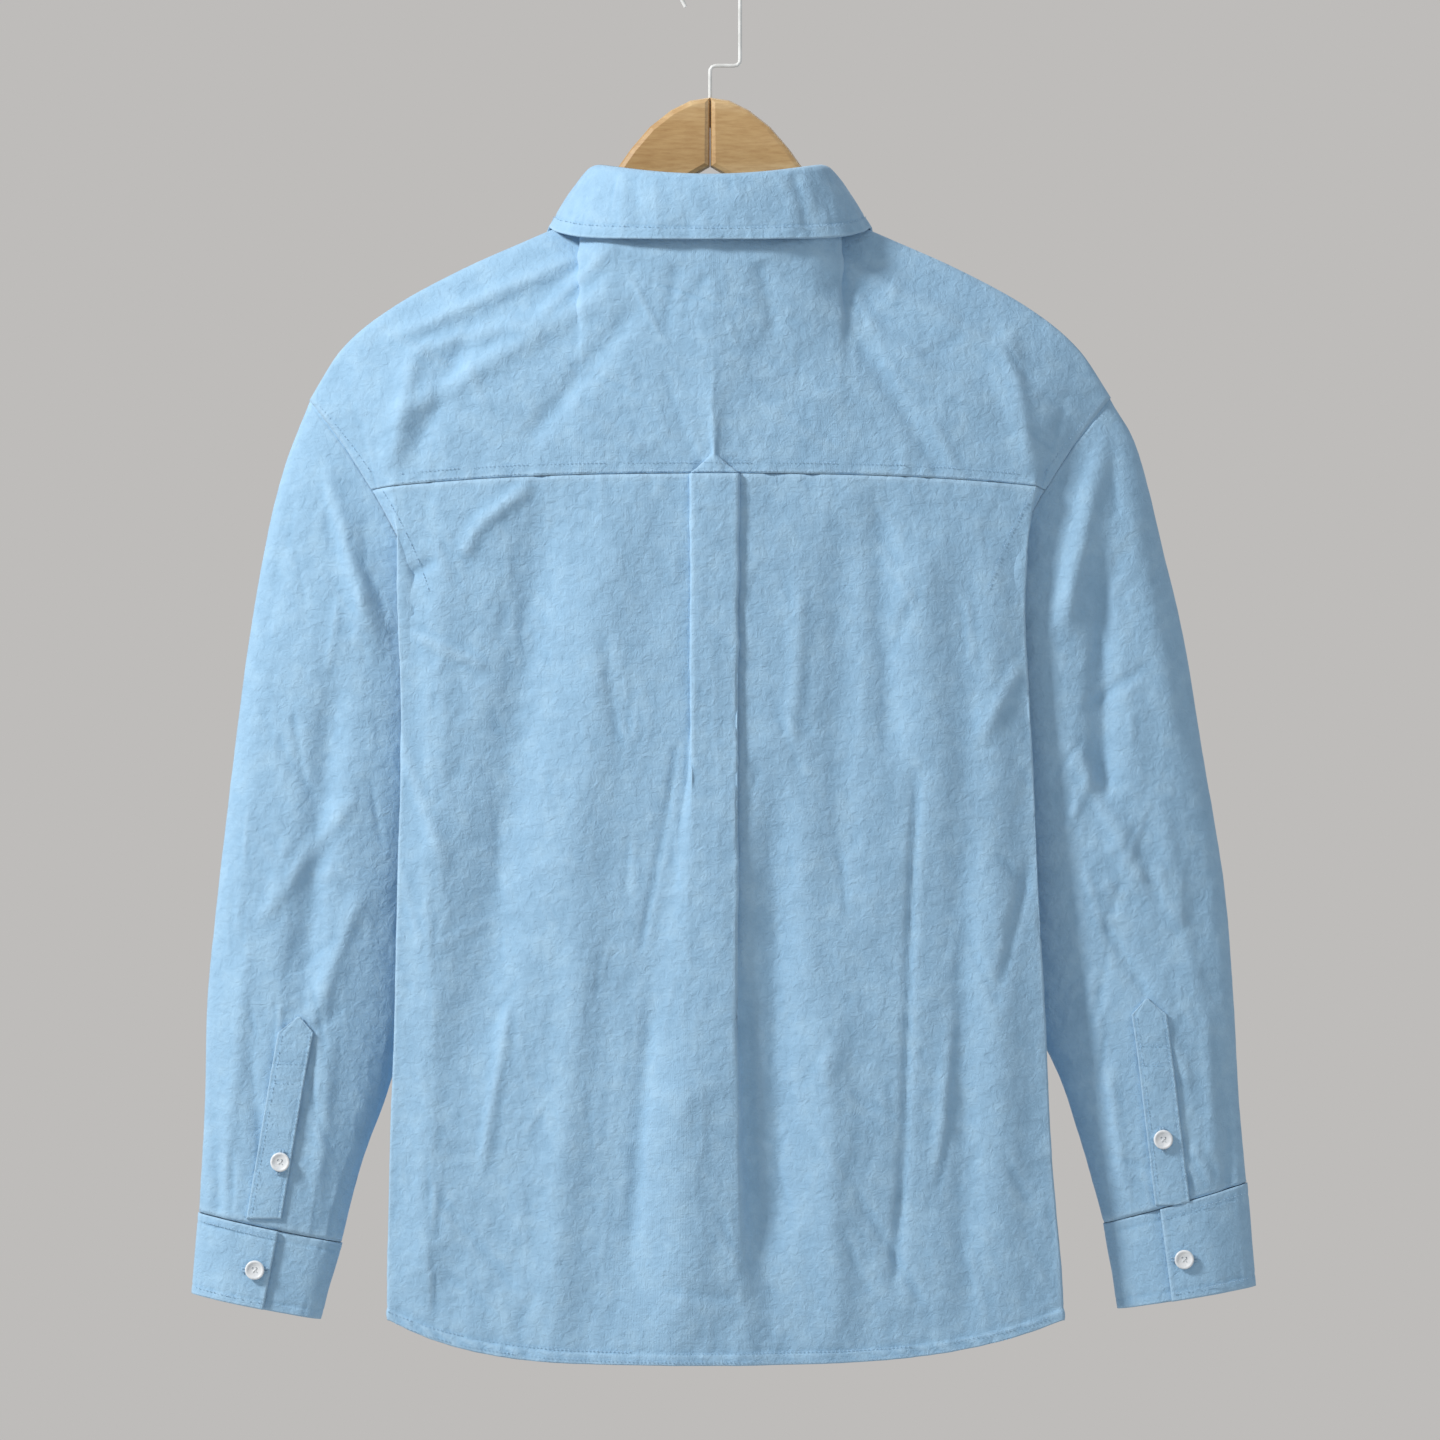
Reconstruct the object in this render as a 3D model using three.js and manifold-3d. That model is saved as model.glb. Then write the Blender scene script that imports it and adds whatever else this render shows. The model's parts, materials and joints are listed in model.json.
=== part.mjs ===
// A long-sleeve shirt, buttoned up, hanging on a wooden hanger with a wire hook.
// Millimetres, +Z up. The back of the shirt faces -Y, its front faces +Y, and the wearer's left is -X.
// The origin is the inside top of the hook, where the rail carries it.

import * as THREE from "three";
import Module from "manifold-3d";
import { mergeVertices } from "three/addons/utils/BufferGeometryUtils.js";

// ---------- driving dimensions ----------

const CLOTH = 1.2; // wall of one layer of cloth
const DOUBLE_CLOTH = 1.8; // wall of the collar, cuffs and plackets, which are sewn of two layers
const SEAM_GAP = 0.4; // air between two pieces at a seam
const LEFT = -1;
const RIGHT = 1;

const YOKE_SEAM_Z = -343;
const UNDERARM_Z = -520;
const BACK_HEM_Z = -932;
const FRONT_HEM_Z = -924;
const SIDE_HEM_Z = -884;
const CLOTH_SIDE_FOLD = 0.82; // share of a half row that runs from the middle to the side fold

const ARMHOLE_LAP = 2; // from the middle of the sleeve's wall to the middle of the body's
const SHOULDER_SEAM_END_ANGLE = 44; // round the armhole from its top, on the front half

const NECK_HALF_WIDTH = 84;
const NECK_HALF_DEPTH = 42;
const NECK_BACK_Z = -184;
const NECK_SIDE_Z = -169;
const NECK_FRONT_Z = -240;
const SHOULDER_SEAM_ANGLE = 112; // round the neck from the middle of the back, in degrees

const COLLAR_TOP_HALF_WIDTH = 75;
const COLLAR_TOP_HALF_DEPTH = 38;
const COLLAR_BACK_TOP_Z = -147;
const COLLAR_SIDE_TOP_Z = -138;
const COLLAR_FRONT_TOP_Z = -210;

const PLEAT_CENTRE_X = 3;
const PLEAT_HALF_WIDTH = 15.5;
const PLEAT_LAYER_STEP = 1.7; // from the middle of one layer to the middle of the next

const FRONT_PLACKET_HALF_WIDTH = 17;
const BUTTON_DIAMETER = 12;
const CUFF_BUTTON_DIAMETER = 13;
const BUTTON_THICKNESS = 2.6;
const FRONT_BUTTON_COUNT = 6;
const FRONT_BUTTON_TOP_Z = -292;
const FRONT_BUTTON_STEP = 92;

const BOARD_THICKNESS = 12;
const BOARD_BEVEL = 3.5;
const HOOK_WIRE = 2.6;
const HOOK_RADIUS = 20;
const HOOK_BORE_DEPTH = 22;

// The side folds of the body, down from the yoke.
const SIDE_FOLD = [
  { z: -345, left: -215, right: 221 },
  { z: -375, left: -212, right: 217 },
  { z: -430, left: -213, right: 215 },
  { z: -486, left: -211, right: 218 },
  { z: -530, left: -211, right: 220.5 },
  { z: -620, left: -214, right: 225 },
  { z: -705, left: -216, right: 229.5 },
  { z: -777, left: -218.7, right: 233 },
  { z: -860, left: -220.4, right: 240 },
  { z: -935, left: -219, right: 242 },
];

// How far each side of the box pleat is folded under, and how far it spreads where that is negative.
const PLEAT = [
  { z: -343, leftUnder: 11, rightUnder: 11, lift: 1 },
  { z: -430, leftUnder: 7, rightUnder: 9, lift: 1 },
  { z: -520, leftUnder: 1, rightUnder: 6, lift: 1.1 },
  { z: -600, leftUnder: -14, rightUnder: 3.5, lift: 1.3 },
  { z: -700, leftUnder: -34, rightUnder: -1, lift: 1.7 },
  { z: -820, leftUnder: -48, rightUnder: -16, lift: 1.8 },
  { z: -935, leftUnder: -60, rightUnder: -30, lift: 1.2 },
];

// Large soft folds: from one end to the other, how far they rise (+) or sink (-), and how wide they are.
const BACK_FOLDS = [
  { x1: -112, z1: -374, x2: -154, z2: -730, rise: -3.5, width: 20 },
  { x1: -60, z1: -360, x2: -96, z2: -640, rise: 2, width: 22 },
  { x1: 140, z1: -390, x2: 150, z2: -580, rise: 2.5, width: 20 },
  { x1: 44, z1: -560, x2: 42, z2: -860, rise: -4, width: 18 },
  { x1: -20, z1: -740, x2: -18, z2: -915, rise: 3, width: 24 },
  { x1: 137, z1: -546, x2: 122, z2: -885, rise: -2.5, width: 10 },
];
const FRONT_FOLDS = [
  { x1: 105, z1: -330, x2: 128, z2: -720, rise: 3.5, width: 22 },
  { x1: -112, z1: -330, x2: -122, z2: -760, rise: 3, width: 24 },
  { x1: -62, z1: -520, x2: -70, z2: -900, rise: -3, width: 18 },
  { x1: 66, z1: -470, x2: 74, z2: -900, rise: -3, width: 20 },
];
const YOKE_FOLDS = [
  { x1: -79, z1: -200, x2: -205, z2: -262, rise: 2, width: 9 },
  { x1: -72, z1: -225, x2: -205, z2: -304, rise: 2, width: 11 },
  { x1: 80, z1: -205, x2: 200, z2: -290, rise: 1.6, width: 11 },
];
const SLEEVE_FOLDS = {
  [LEFT]: [
    { x1: -263, z1: -312, x2: -224, z2: -450, rise: 4, width: 10 },
    { x1: -300, z1: -440, x2: -318, z2: -640, rise: 2.5, width: 12 },
    { x1: -250, z1: -480, x2: -272, z2: -690, rise: -3, width: 13 },
    { x1: -326, z1: -838, x2: -335, z2: -740, rise: -2.5, width: 7 },
  ],
  [RIGHT]: [
    { x1: 262, z1: -312, x2: 236, z2: -440, rise: 4, width: 10 },
    { x1: 280, z1: -350, x2: 313, z2: -530, rise: 3.5, width: 12 },
    { x1: 262, z1: -400, x2: 262, z2: -560, rise: -4, width: 12 },
    { x1: 346, z1: -820, x2: 349, z2: -725, rise: -2.5, width: 7 },
  ],
};

// Rings of the sleeves: the two ends of each ring, its half depth, middle and inward bow.
const SLEEVE_RINGS = {
  [LEFT]: [
    { outerX: -268, outerZ: -296, innerX: -185, innerZ: -520, halfDepth: 20, middleY: 6, bow: 29 },
    { outerX: -284, outerZ: -338, innerX: -190, innerZ: -552, halfDepth: 21, middleY: 6.5, bow: 20 },
    { outerX: -298, outerZ: -396, innerX: -194, innerZ: -590, halfDepth: 21, middleY: 7, bow: 12 },
    { outerX: -309, outerZ: -462, innerX: -197, innerZ: -630, halfDepth: 20, middleY: 8, bow: 7 },
    { outerX: -319, outerZ: -540, innerX: -199, innerZ: -674, halfDepth: 19, middleY: 8.5, bow: 4 },
    { outerX: -328, outerZ: -618, innerX: -206, innerZ: -718, halfDepth: 18.5, middleY: 9, bow: 2 },
    { outerX: -335, outerZ: -690, innerX: -217, innerZ: -758, halfDepth: 18, middleY: 8, bow: 0 },
    { outerX: -337, outerZ: -764, innerX: -232, innerZ: -798, halfDepth: 17, middleY: 8, bow: 0 },
    { outerX: -341, outerZ: -835, innerX: -247, innerZ: -855, halfDepth: 15, middleY: 8, bow: 0 },
  ],
  [RIGHT]: [
    { outerX: 268, outerZ: -294, innerX: 185, innerZ: -520, halfDepth: 20, middleY: 6, bow: 31 },
    { outerX: 285, outerZ: -326, innerX: 190, innerZ: -552, halfDepth: 21, middleY: 6.5, bow: 22 },
    { outerX: 302, outerZ: -392, innerX: 194, innerZ: -588, halfDepth: 21, middleY: 7, bow: 13 },
    { outerX: 317, outerZ: -458, innerX: 198, innerZ: -626, halfDepth: 20, middleY: 8, bow: 7 },
    { outerX: 330, outerZ: -538, innerX: 203, innerZ: -668, halfDepth: 19, middleY: 8.5, bow: 4 },
    { outerX: 343, outerZ: -615, innerX: 215, innerZ: -706, halfDepth: 18.5, middleY: 9, bow: 2 },
    { outerX: 349, outerZ: -688, innerX: 233, innerZ: -742, halfDepth: 18, middleY: 8, bow: 0 },
    { outerX: 353, outerZ: -762, innerX: 249, innerZ: -790, halfDepth: 17, middleY: 8, bow: 0 },
    { outerX: 358, outerZ: -815, innerX: 264, innerZ: -842, halfDepth: 15, middleY: 8, bow: 0 },
  ],
};
const CUFF_RINGS = {
  [LEFT]: [
    { outerX: -341.2, outerZ: -835.2, innerX: -246.8, innerZ: -855.2, halfDepth: 15, middleY: 8, bow: 0 },
    { outerX: -346, outerZ: -889, innerX: -261, innerZ: -906, halfDepth: 15, middleY: 8, bow: 0 },
  ],
  [RIGHT]: [
    { outerX: 358.2, outerZ: -815.2, innerX: 263.8, innerZ: -842.2, halfDepth: 15, middleY: 8, bow: 0 },
    { outerX: 364, outerZ: -884, innerX: 273, innerZ: -899, halfDepth: 15, middleY: 8, bow: 0 },
  ],
};

// The sleeve plackets: the top tip and the foot of each strip, and its buttons, as seen from the back.
const SLEEVE_PLACKET = {
  [LEFT]: { tipX: -274, tipZ: -703, footX: -297, footZ: -838, buttonX: -286, buttonZ: -800 },
  [RIGHT]: { tipX: 291, tipZ: -691, footX: 308, footZ: -829, buttonX: 301.4, buttonZ: -785 },
};
const CUFF_BUTTON = { [LEFT]: { x: -303, z: -872 }, [RIGHT]: { x: 315.5, z: -865 } };
const CUFF_EDGE_ANGLE = { [LEFT]: 98, [RIGHT]: 104 }; // where the top layer of the cuff ends
const PLACKET_STRIP_HALF_WIDTH = 11.5;
const PLACKET_TIP_HEIGHT = 11;

// Stations of half the yoke, from the middle of the back out to the armhole.
const YOKE_STATIONS = [
  { at: 0.0, seamX: 0, neckAngle: 0 },
  { at: 0.17, seamX: 36, neckAngle: 30 },
  { at: 0.32, seamX: 70, neckAngle: 60 },
  { at: 0.42, seamX: 92, neckAngle: 90 },
  { at: 0.5, seamX: 108, neckAngle: SHOULDER_SEAM_ANGLE },
  { at: 0.62, seamX: 134, ridgeX: 120 },
  { at: 0.75, seamX: 162, ridgeX: 168 },
  { at: 0.87, seamX: 190, ridgeX: 214 },
  { at: 0.95, seamX: 208, ridgeX: 246 },
];
const SHOULDER_RIDGE = [
  { x: 60, z: -160 },
  { x: 86, z: -170.5 },
  { x: 108, z: -180.5 },
  { x: 146, z: -197.5 },
  { x: 172, z: -209.5 },
  { x: 200, z: -225 },
  { x: 218, z: -236 },
  { x: 236, z: -250 },
  { x: 250, z: -265 },
  { x: 262, z: -281 },
  { x: 270, z: -296 },
];
const SHOULDER_SEAM_DROP = 27; // from the shoulder ridge down to the front seam of the yoke

// The free edge of the collar leaf, round from the middle of the back.
const COLLAR_EDGE = [
  { angle: 0, x: 0, y: -48, z: -189 },
  { angle: 35, x: 48, y: -45.5, z: -188.5 },
  { angle: 62, x: 84, y: -33, z: -186.5 },
  { angle: 80, x: 102, y: -15, z: -181.5 },
  { angle: 92, x: 107.5, y: 2, z: -178 },
  { angle: 112, x: 107, y: 22, z: -192 },
  { angle: 135, x: 97, y: 41, z: -224 },
  { angle: 158, x: 73, y: 51, z: -266 },
  { angle: 173, x: 52, y: 54, z: -296 },
];

// The outline of half the hanger board, top edge from the middle outwards, then the lower edge back.
const BOARD_TOP = [
  { x: 0, z: -91 },
  { x: 13, z: -93 },
  { x: 26, z: -99.5 },
  { x: 40, z: -110.5 },
  { x: 52.5, z: -125 },
  { x: 61, z: -137 },
  { x: 68, z: -150 },
  { x: 75, z: -171 },
];
const BOARD_LOWER = [
  { x: 60, z: -196 },
  { x: 34, z: -167 },
  { x: 16, z: -146 },
  { x: 0, z: -137 },
];
const BOARD_ARM_CLEARANCE = 6.2; // from the shoulder ridge down to the top of the arm
const BOARD_ARM_HEIGHT = 33;
const BOARD_TIP_X = 228;

// ---------- small tools ----------

const mix = (a, b, t) => a + (b - a) * t;
const limit = (t) => Math.min(1, Math.max(0, t));
const ease = (t) => limit(t) ** 2 * (3 - 2 * limit(t));
const radians = (degrees) => (degrees * Math.PI) / 180;

function steps(from, to, count) {
  return Array.from({ length: count + 1 }, (_, i) => mix(from, to, i / count));
}

// A smooth curve through one column of a table, read along another column.
function column(rows, along, name) {
  const order = [...rows].sort((a, b) => a[along] - b[along]);
  const slope = order.map((_, i) => {
    const before = order[Math.max(i - 1, 0)];
    const after = order[Math.min(i + 1, order.length - 1)];
    return (after[name] - before[name]) / (after[along] - before[along]);
  });
  return (at) => {
    const last = order.length - 1;
    const x = Math.min(Math.max(at, order[0][along]), order[last][along]);
    const i = Math.min(Math.max(order.findIndex((row) => row[along] >= x) - 1, 0), last - 1);
    const span = order[i + 1][along] - order[i][along];
    const t = (x - order[i][along]) / span;
    const [a, b] = [order[i][name], order[i + 1][name]];
    const bend = t * (1 - t) * ((1 - t) * (slope[i] * span - (b - a)) - t * (slope[i + 1] * span - (b - a)));
    return mix(a, b, t) + bend;
  };
}

// How far the soft folds of a table lift the cloth at one place.
function lift(rows, x, z) {
  let total = 0;
  for (const { x1, z1, x2, z2, rise, width } of rows) {
    const [dx, dz] = [x2 - x1, z2 - z1];
    const along = ((x - x1) * dx + (z - z1) * dz) / (dx * dx + dz * dz);
    const across = ((x - x1) * dz - (z - z1) * dx) / Math.hypot(dx, dz);
    const fade = ease((along + 0.12) / 0.24) * ease((1.12 - along) / 0.24);
    total += rise * fade * Math.exp(-((across / width) ** 2));
  }
  return total;
}

function bezier(p0, p1, p2, p3, t) {
  const s = 1 - t;
  return p0.map((_, k) => s * s * s * p0[k] + 3 * s * s * t * p1[k] + 3 * s * t * t * p2[k] + t * t * t * p3[k]);
}

// A closed wall about a surface: its points are moved to both sides along the surface's normals.
function wall(surface, us, vs, thickness, { inside, moved = 0, ring = false }) {
  const grid = vs.map((v) => us.map((u) => surface(u, v)));
  const rows = vs.length;
  const columns = us.length;
  const at = (i, j) => grid[i][ring ? (j + columns) % columns : Math.min(Math.max(j, 0), columns - 1)];
  const normals = grid.map((row, i) => row.map((_, j) => {
    const across = at(i, j + 1).clone().sub(at(i, j - 1));
    const down = grid[Math.min(i + 1, rows - 1)][j].clone().sub(grid[Math.max(i - 1, 0)][j]);
    return across.cross(down).normalize();
  }));
  const [midRow, midColumn] = [rows >> 1, columns >> 1];
  const away = grid[midRow][midColumn].clone().sub(inside).dot(normals[midRow][midColumn]);
  const sense = Math.sign(away);
  const positions = [];
  for (const reach of [moved + thickness / 2, moved - thickness / 2]) {
    grid.forEach((row, i) => row.forEach((point, j) => {
      positions.push(...point.clone().addScaledVector(normals[i][j], sense * reach).toArray());
    }));
  }
  const index = [];
  const outer = (i, j) => i * columns + (j % columns);
  const inner = (i, j) => rows * columns + outer(i, j);
  const quad = (a, b, c, d) => index.push(...(sense > 0 ? [a, b, c, a, c, d] : [a, c, b, a, d, c]));
  const spans = ring ? columns : columns - 1;
  for (let i = 0; i < rows - 1; i += 1) {
    for (let j = 0; j < spans; j += 1) {
      quad(outer(i, j), outer(i, j + 1), outer(i + 1, j + 1), outer(i + 1, j));
      quad(inner(i, j), inner(i + 1, j), inner(i + 1, j + 1), inner(i, j + 1));
    }
  }
  for (let j = 0; j < spans; j += 1) {
    quad(outer(0, j), inner(0, j), inner(0, j + 1), outer(0, j + 1));
    quad(outer(rows - 1, j), outer(rows - 1, j + 1), inner(rows - 1, j + 1), inner(rows - 1, j));
  }
  if (!ring) {
    for (let i = 0; i < rows - 1; i += 1) {
      quad(outer(i, 0), outer(i + 1, 0), inner(i + 1, 0), inner(i, 0));
      quad(outer(i, columns - 1), inner(i, columns - 1), inner(i + 1, columns - 1), outer(i + 1, columns - 1));
    }
  }
  const geometry = new THREE.BufferGeometry();
  geometry.setAttribute("position", new THREE.Float32BufferAttribute(positions, 3));
  geometry.setIndex(index);
  return geometry;
}

const vector = (x, y, z) => new THREE.Vector3(x, y, z);

// ---------- sleeves and armholes ----------

const ringColumns = ["outerX", "outerZ", "innerX", "innerZ", "halfDepth", "middleY", "bow"];

function ringReader(rows) {
  const numbered = rows.map((row, i) => ({ ...row, share: i / (rows.length - 1) }));
  const curves = Object.fromEntries(ringColumns.map((name) => [name, column(numbered, "share", name)]));
  return (share) => Object.fromEntries(ringColumns.map((name) => [name, curves[name](share)]));
}

// Angle 0 is the outer edge of the sleeve, 90 faces the back and 180 is the inner edge.
function ringPoint(ring, side, angle) {
  const across = Math.cos(radians(angle));
  const deep = Math.sin(radians(angle));
  const x = mix(ring.innerX, ring.outerX, (1 + across) / 2) - side * ring.bow * deep * deep;
  const z = mix(ring.innerZ, ring.outerZ, (1 + across) / 2);
  return vector(x, ring.middleY - ring.halfDepth * deep, z);
}

const sleeveRing = { [LEFT]: ringReader(SLEEVE_RINGS[LEFT]), [RIGHT]: ringReader(SLEEVE_RINGS[RIGHT]) };
const cuffRing = { [LEFT]: ringReader(CUFF_RINGS[LEFT]), [RIGHT]: ringReader(CUFF_RINGS[RIGHT]) };

function sleevePoint(side, angle, share) {
  const point = ringPoint(sleeveRing[side](share), side, angle);
  const deep = Math.sin(radians(angle));
  const inFold = ease(share * 8);
  point.y -= deep * Math.abs(deep) * inFold * lift(SLEEVE_FOLDS[side], point.x, point.z);
  return point;
}

function armholePoint(side, angle) {
  return ringPoint(sleeveRing[side](0), side, angle);
}

// The body's own edge lies just inside the sleeve's, as a lapped seam does.
function armholeEdge(side, angle) {
  const point = armholePoint(side, angle);
  const turned = Math.abs(angle);
  point.y -= ARMHOLE_LAP * Math.sin(radians(angle)) * ease((turned - 35) / 30);
  point.x -= side * ARMHOLE_LAP * ease((turned - 100) / 60);
  return point;
}

// The angle round the armhole at a height, on its back half.
function armholeAngle(side, z) {
  const ring = SLEEVE_RINGS[side][0];
  const across = (2 * (z - ring.innerZ)) / (ring.outerZ - ring.innerZ) - 1;
  return (Math.acos(Math.min(1, Math.max(-1, across))) * 180) / Math.PI;
}

// The angle at which a ring of the sleeve or cuff passes a given x on the side that faces the back.
function angleAtX(ring, x) {
  const across = (2 * (x - ring.innerX)) / (ring.outerX - ring.innerX) - 1;
  return (Math.acos(Math.min(1, Math.max(-1, across))) * 180) / Math.PI;
}

// ---------- body ----------

const foldX = { [LEFT]: column(SIDE_FOLD, "z", "left"), [RIGHT]: column(SIDE_FOLD, "z", "right") };
const pleatUnder = { [LEFT]: column(PLEAT, "z", "leftUnder"), [RIGHT]: column(PLEAT, "z", "rightUnder") };
const pleatLift = column(PLEAT, "z", "lift");

// The seam that joins front and back below the arm, and the armhole above it.
function seamPoint(side, z, facing) {
  if (z > UNDERARM_Z) {
    return armholeEdge(side, facing * armholeAngle(side, z)).toArray();
  }
  const drop = ease((UNDERARM_Z - z) / 110);
  return [side * mix(185 - ARMHOLE_LAP, 175, drop), mix(6, 5, drop), z];
}

function backDepth(x, z, reach) {
  const crown = 1 - Math.min(1, (x / reach) ** 2);
  const low = ease((YOKE_SEAM_Z - z) / 500);
  return -(mix(23, 24, low) + mix(15, 17, low) * crown) - lift(BACK_FOLDS, x, z);
}

// One side of the box pleat: x out from its middle and the lift of the cloth, as the cloth runs outwards.
function pleatPath(share, under, layers) {
  const turn = 0.8;
  const folded = [
    [PLEAT_HALF_WIDTH - turn, 2], [PLEAT_HALF_WIDTH, 1.5], [PLEAT_HALF_WIDTH - turn, 1],
    [PLEAT_HALF_WIDTH - under, 1], [PLEAT_HALF_WIDTH - under - turn, 0.5], [PLEAT_HALF_WIDTH - under, 0],
  ];
  const last = folded.length - 1;
  const i = Math.min(Math.floor(share * last), last - 1);
  const t = share * last - i;
  const foldedX = mix(folded[i][0], folded[i + 1][0], t);
  const foldedLift = mix(folded[i][1], folded[i + 1][1], t);
  const openX = PLEAT_HALF_WIDTH - turn + share * (turn + Math.max(2, -under));
  const openLift = 2 * (1 - ease(share));
  const open = ease((2.5 - under) / 5);
  return [mix(foldedX, openX, open), mix(foldedLift, openLift, open) * PLEAT_LAYER_STEP * layers];
}

const PLEAT_TOP_SHARE = 0.06; // shares of a half row that run over the pleat and through its folds
const PLEAT_FOLD_SHARE = 0.2;

// u runs from the left seam (-1) to the right seam (+1), v from the yoke seam (0) to the hem (1).
function backPoint(u, v) {
  const side = u < 0 ? LEFT : RIGHT;
  const share = Math.abs(u);
  const seamTop = armholeEdge(side, armholeAngle(side, YOKE_SEAM_Z - 10)).z;
  const sideZ = mix(seamTop, SIDE_HEM_Z, v);
  const reach = Math.abs(foldX[side](sideZ));
  const inward = ease((YOKE_SEAM_Z - 2 - sideZ) / 60);
  const main = Math.min(share / CLOTH_SIDE_FOLD, 1);
  const middleZ = mix(YOKE_SEAM_Z, BACK_HEM_Z, v);
  const foldZ = mix(YOKE_SEAM_Z - 8, BACK_HEM_Z + 28, v);
  const zMain = middleZ + (foldZ - middleZ) * main ** 3.5;
  const endX = side * (reach - 8 * inward - 4 * (1 - inward));
  let x;
  let rise = 0;
  if (share <= PLEAT_FOLD_SHARE) {
    const path = share <= PLEAT_TOP_SHARE ? 0 : (share - PLEAT_TOP_SHARE) / (PLEAT_FOLD_SHARE - PLEAT_TOP_SHARE);
    const [out, up] = pleatPath(path, pleatUnder[side](zMain), pleatLift(zMain));
    const top = Math.min(share / PLEAT_TOP_SHARE, 1);
    x = PLEAT_CENTRE_X + side * out * top;
    rise = up;
  } else {
    const start = PLEAT_CENTRE_X + side * pleatPath(1, pleatUnder[side](zMain), pleatLift(zMain))[0];
    const t = (Math.min(share, CLOTH_SIDE_FOLD) - PLEAT_FOLD_SHARE) / (CLOTH_SIDE_FOLD - PLEAT_FOLD_SHARE);
    x = mix(start, endX, t);
  }
  const y = backDepth(x, zMain, reach) - rise;
  if (share <= CLOTH_SIDE_FOLD) {
    return vector(x, y, zMain);
  }
  const t = (share - CLOTH_SIDE_FOLD) / (1 - CLOTH_SIDE_FOLD);
  const seam = seamPoint(side, sideZ, 1);
  const start = [x, y, zMain];
  const roundX = side * (reach + 2 * inward);
  const leave = [mix(x + side * 2, roundX, inward), y, zMain];
  const arrive = [seam[0] - side * mix(3, 7, inward), seam[1] - mix(1, 14, inward), mix(zMain, sideZ, 0.8)];
  return vector(...bezier(start, leave, arrive, seam, t));
}

function neckPoint(angle) {
  const [across, along] = [Math.sin(radians(angle)), Math.cos(radians(angle))];
  const drop = Math.abs(angle) < 90 ? NECK_BACK_Z - NECK_SIDE_Z : NECK_FRONT_Z - NECK_SIDE_Z;
  return vector(NECK_HALF_WIDTH * across, -NECK_HALF_DEPTH * along, NECK_SIDE_Z + drop * along * along);
}

const ridgeZ = column(SHOULDER_RIDGE, "x", "z");

// Half of the yoke at one station: points from the back seam over the shoulder to the front seam.
function yokeSection(side, station) {
  const seam = backPoint(side * station.at * 0.999, 0);
  seam.z += SEAM_GAP;
  if (station.at === 1) {
    const top = armholeAngle(side, YOKE_SEAM_Z - 10);
    const angles = [top, top * 0.72, top * 0.4, 0, -SHOULDER_SEAM_END_ANGLE];
    return angles.map((angle) => armholeEdge(side, angle));
  }
  const overNeck = station.neckAngle !== undefined;
  let end;
  let ridge;
  if (overNeck) {
    end = neckPoint(side * station.neckAngle);
    const tilt = Math.sin(radians(station.neckAngle)) ** 2;
    ridge = vector(end.x + side * 3 * tilt, end.y - 13 * tilt - 0.4, end.z - mix(20, 3, tilt));
    if (station.neckAngle > 90) {
      ridge.set(end.x + side * 3, 1, ridgeZ(Math.abs(end.x) + 3));
    }
  } else {
    ridge = vector(side * station.ridgeX, 1.5, ridgeZ(station.ridgeX));
    const out = (station.ridgeX - 110) / 140;
    end = vector(side * (station.ridgeX - 4), mix(14, 22, out), ridge.z - SHOULDER_SEAM_DROP);
  }
  const seat = overNeck ? 1 - Math.sin(radians(Math.min(90, station.neckAngle))) : 0;
  const middle = vector(mix(seam.x, ridge.x, 0.4), mix(seam.y, ridge.y, 0.1), mix(seam.z, ridge.z, 0.42));
  const near = vector(
    mix(seam.x, ridge.x, 0.86),
    mix(seam.y, ridge.y, mix(0.58, 0.4, seat)),
    mix(seam.z, ridge.z, 0.87),
  );
  return [seam, middle, near, ridge, end];
}

function along(points, t) {
  return new THREE.CatmullRomCurve3(points, false, "catmullrom", 0.5).getPoint(limit(t));
}

const yokeHalf = Object.fromEntries([LEFT, RIGHT].map((side) => {
  const stations = [...YOKE_STATIONS, { at: 1 }];
  const sections = stations.map((station) => yokeSection(side, station));
  const columns = [0, 1, 2, 3, 4].map((k) => ["x", "y", "z"].map((axis) => {
    const rows = sections.map((section, i) => ({ at: stations[i].at, value: section[k][axis] }));
    return column(rows, "at", "value");
  }));
  return [side, columns];
}));

// u runs from the left armhole (-1) to the right one (+1), v from the back seam (0) to the front seam (1).
function yokePoint(u, v) {
  const side = u < 0 ? LEFT : RIGHT;
  const share = Math.abs(u);
  const section = yokeHalf[side].map((axes) => vector(...axes.map((curve) => curve(share))));
  const seam = backPoint(u * 0.999, 0);
  if (share < 0.999) {
    section[0].set(seam.x, seam.y, seam.z + SEAM_GAP);
  }
  const point = along(section, v);
  const fade = ease(v / 0.12) * ease((0.7 - v) / 0.2) * ease((1 - share) / 0.1);
  point.y -= fade * lift(YOKE_FOLDS, point.x, point.z);
  return point;
}

// The top edge of half the front: along the shoulder seam, then down round the neck.
function frontTop(side, share) {
  const neckAt = 0.52;
  if (share > neckAt) {
    const angle = mix(SHOULDER_SEAM_ANGLE, 180, (share - neckAt) / (1 - neckAt));
    return neckPoint(side * angle);
  }
  const at = mix(1, 0.5, share / neckAt);
  return yokePoint(side * at, 1);
}

const FRONT_FOLD_X = 188;
const FRONT_WRAP_SHARE = 0.16;

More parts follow.
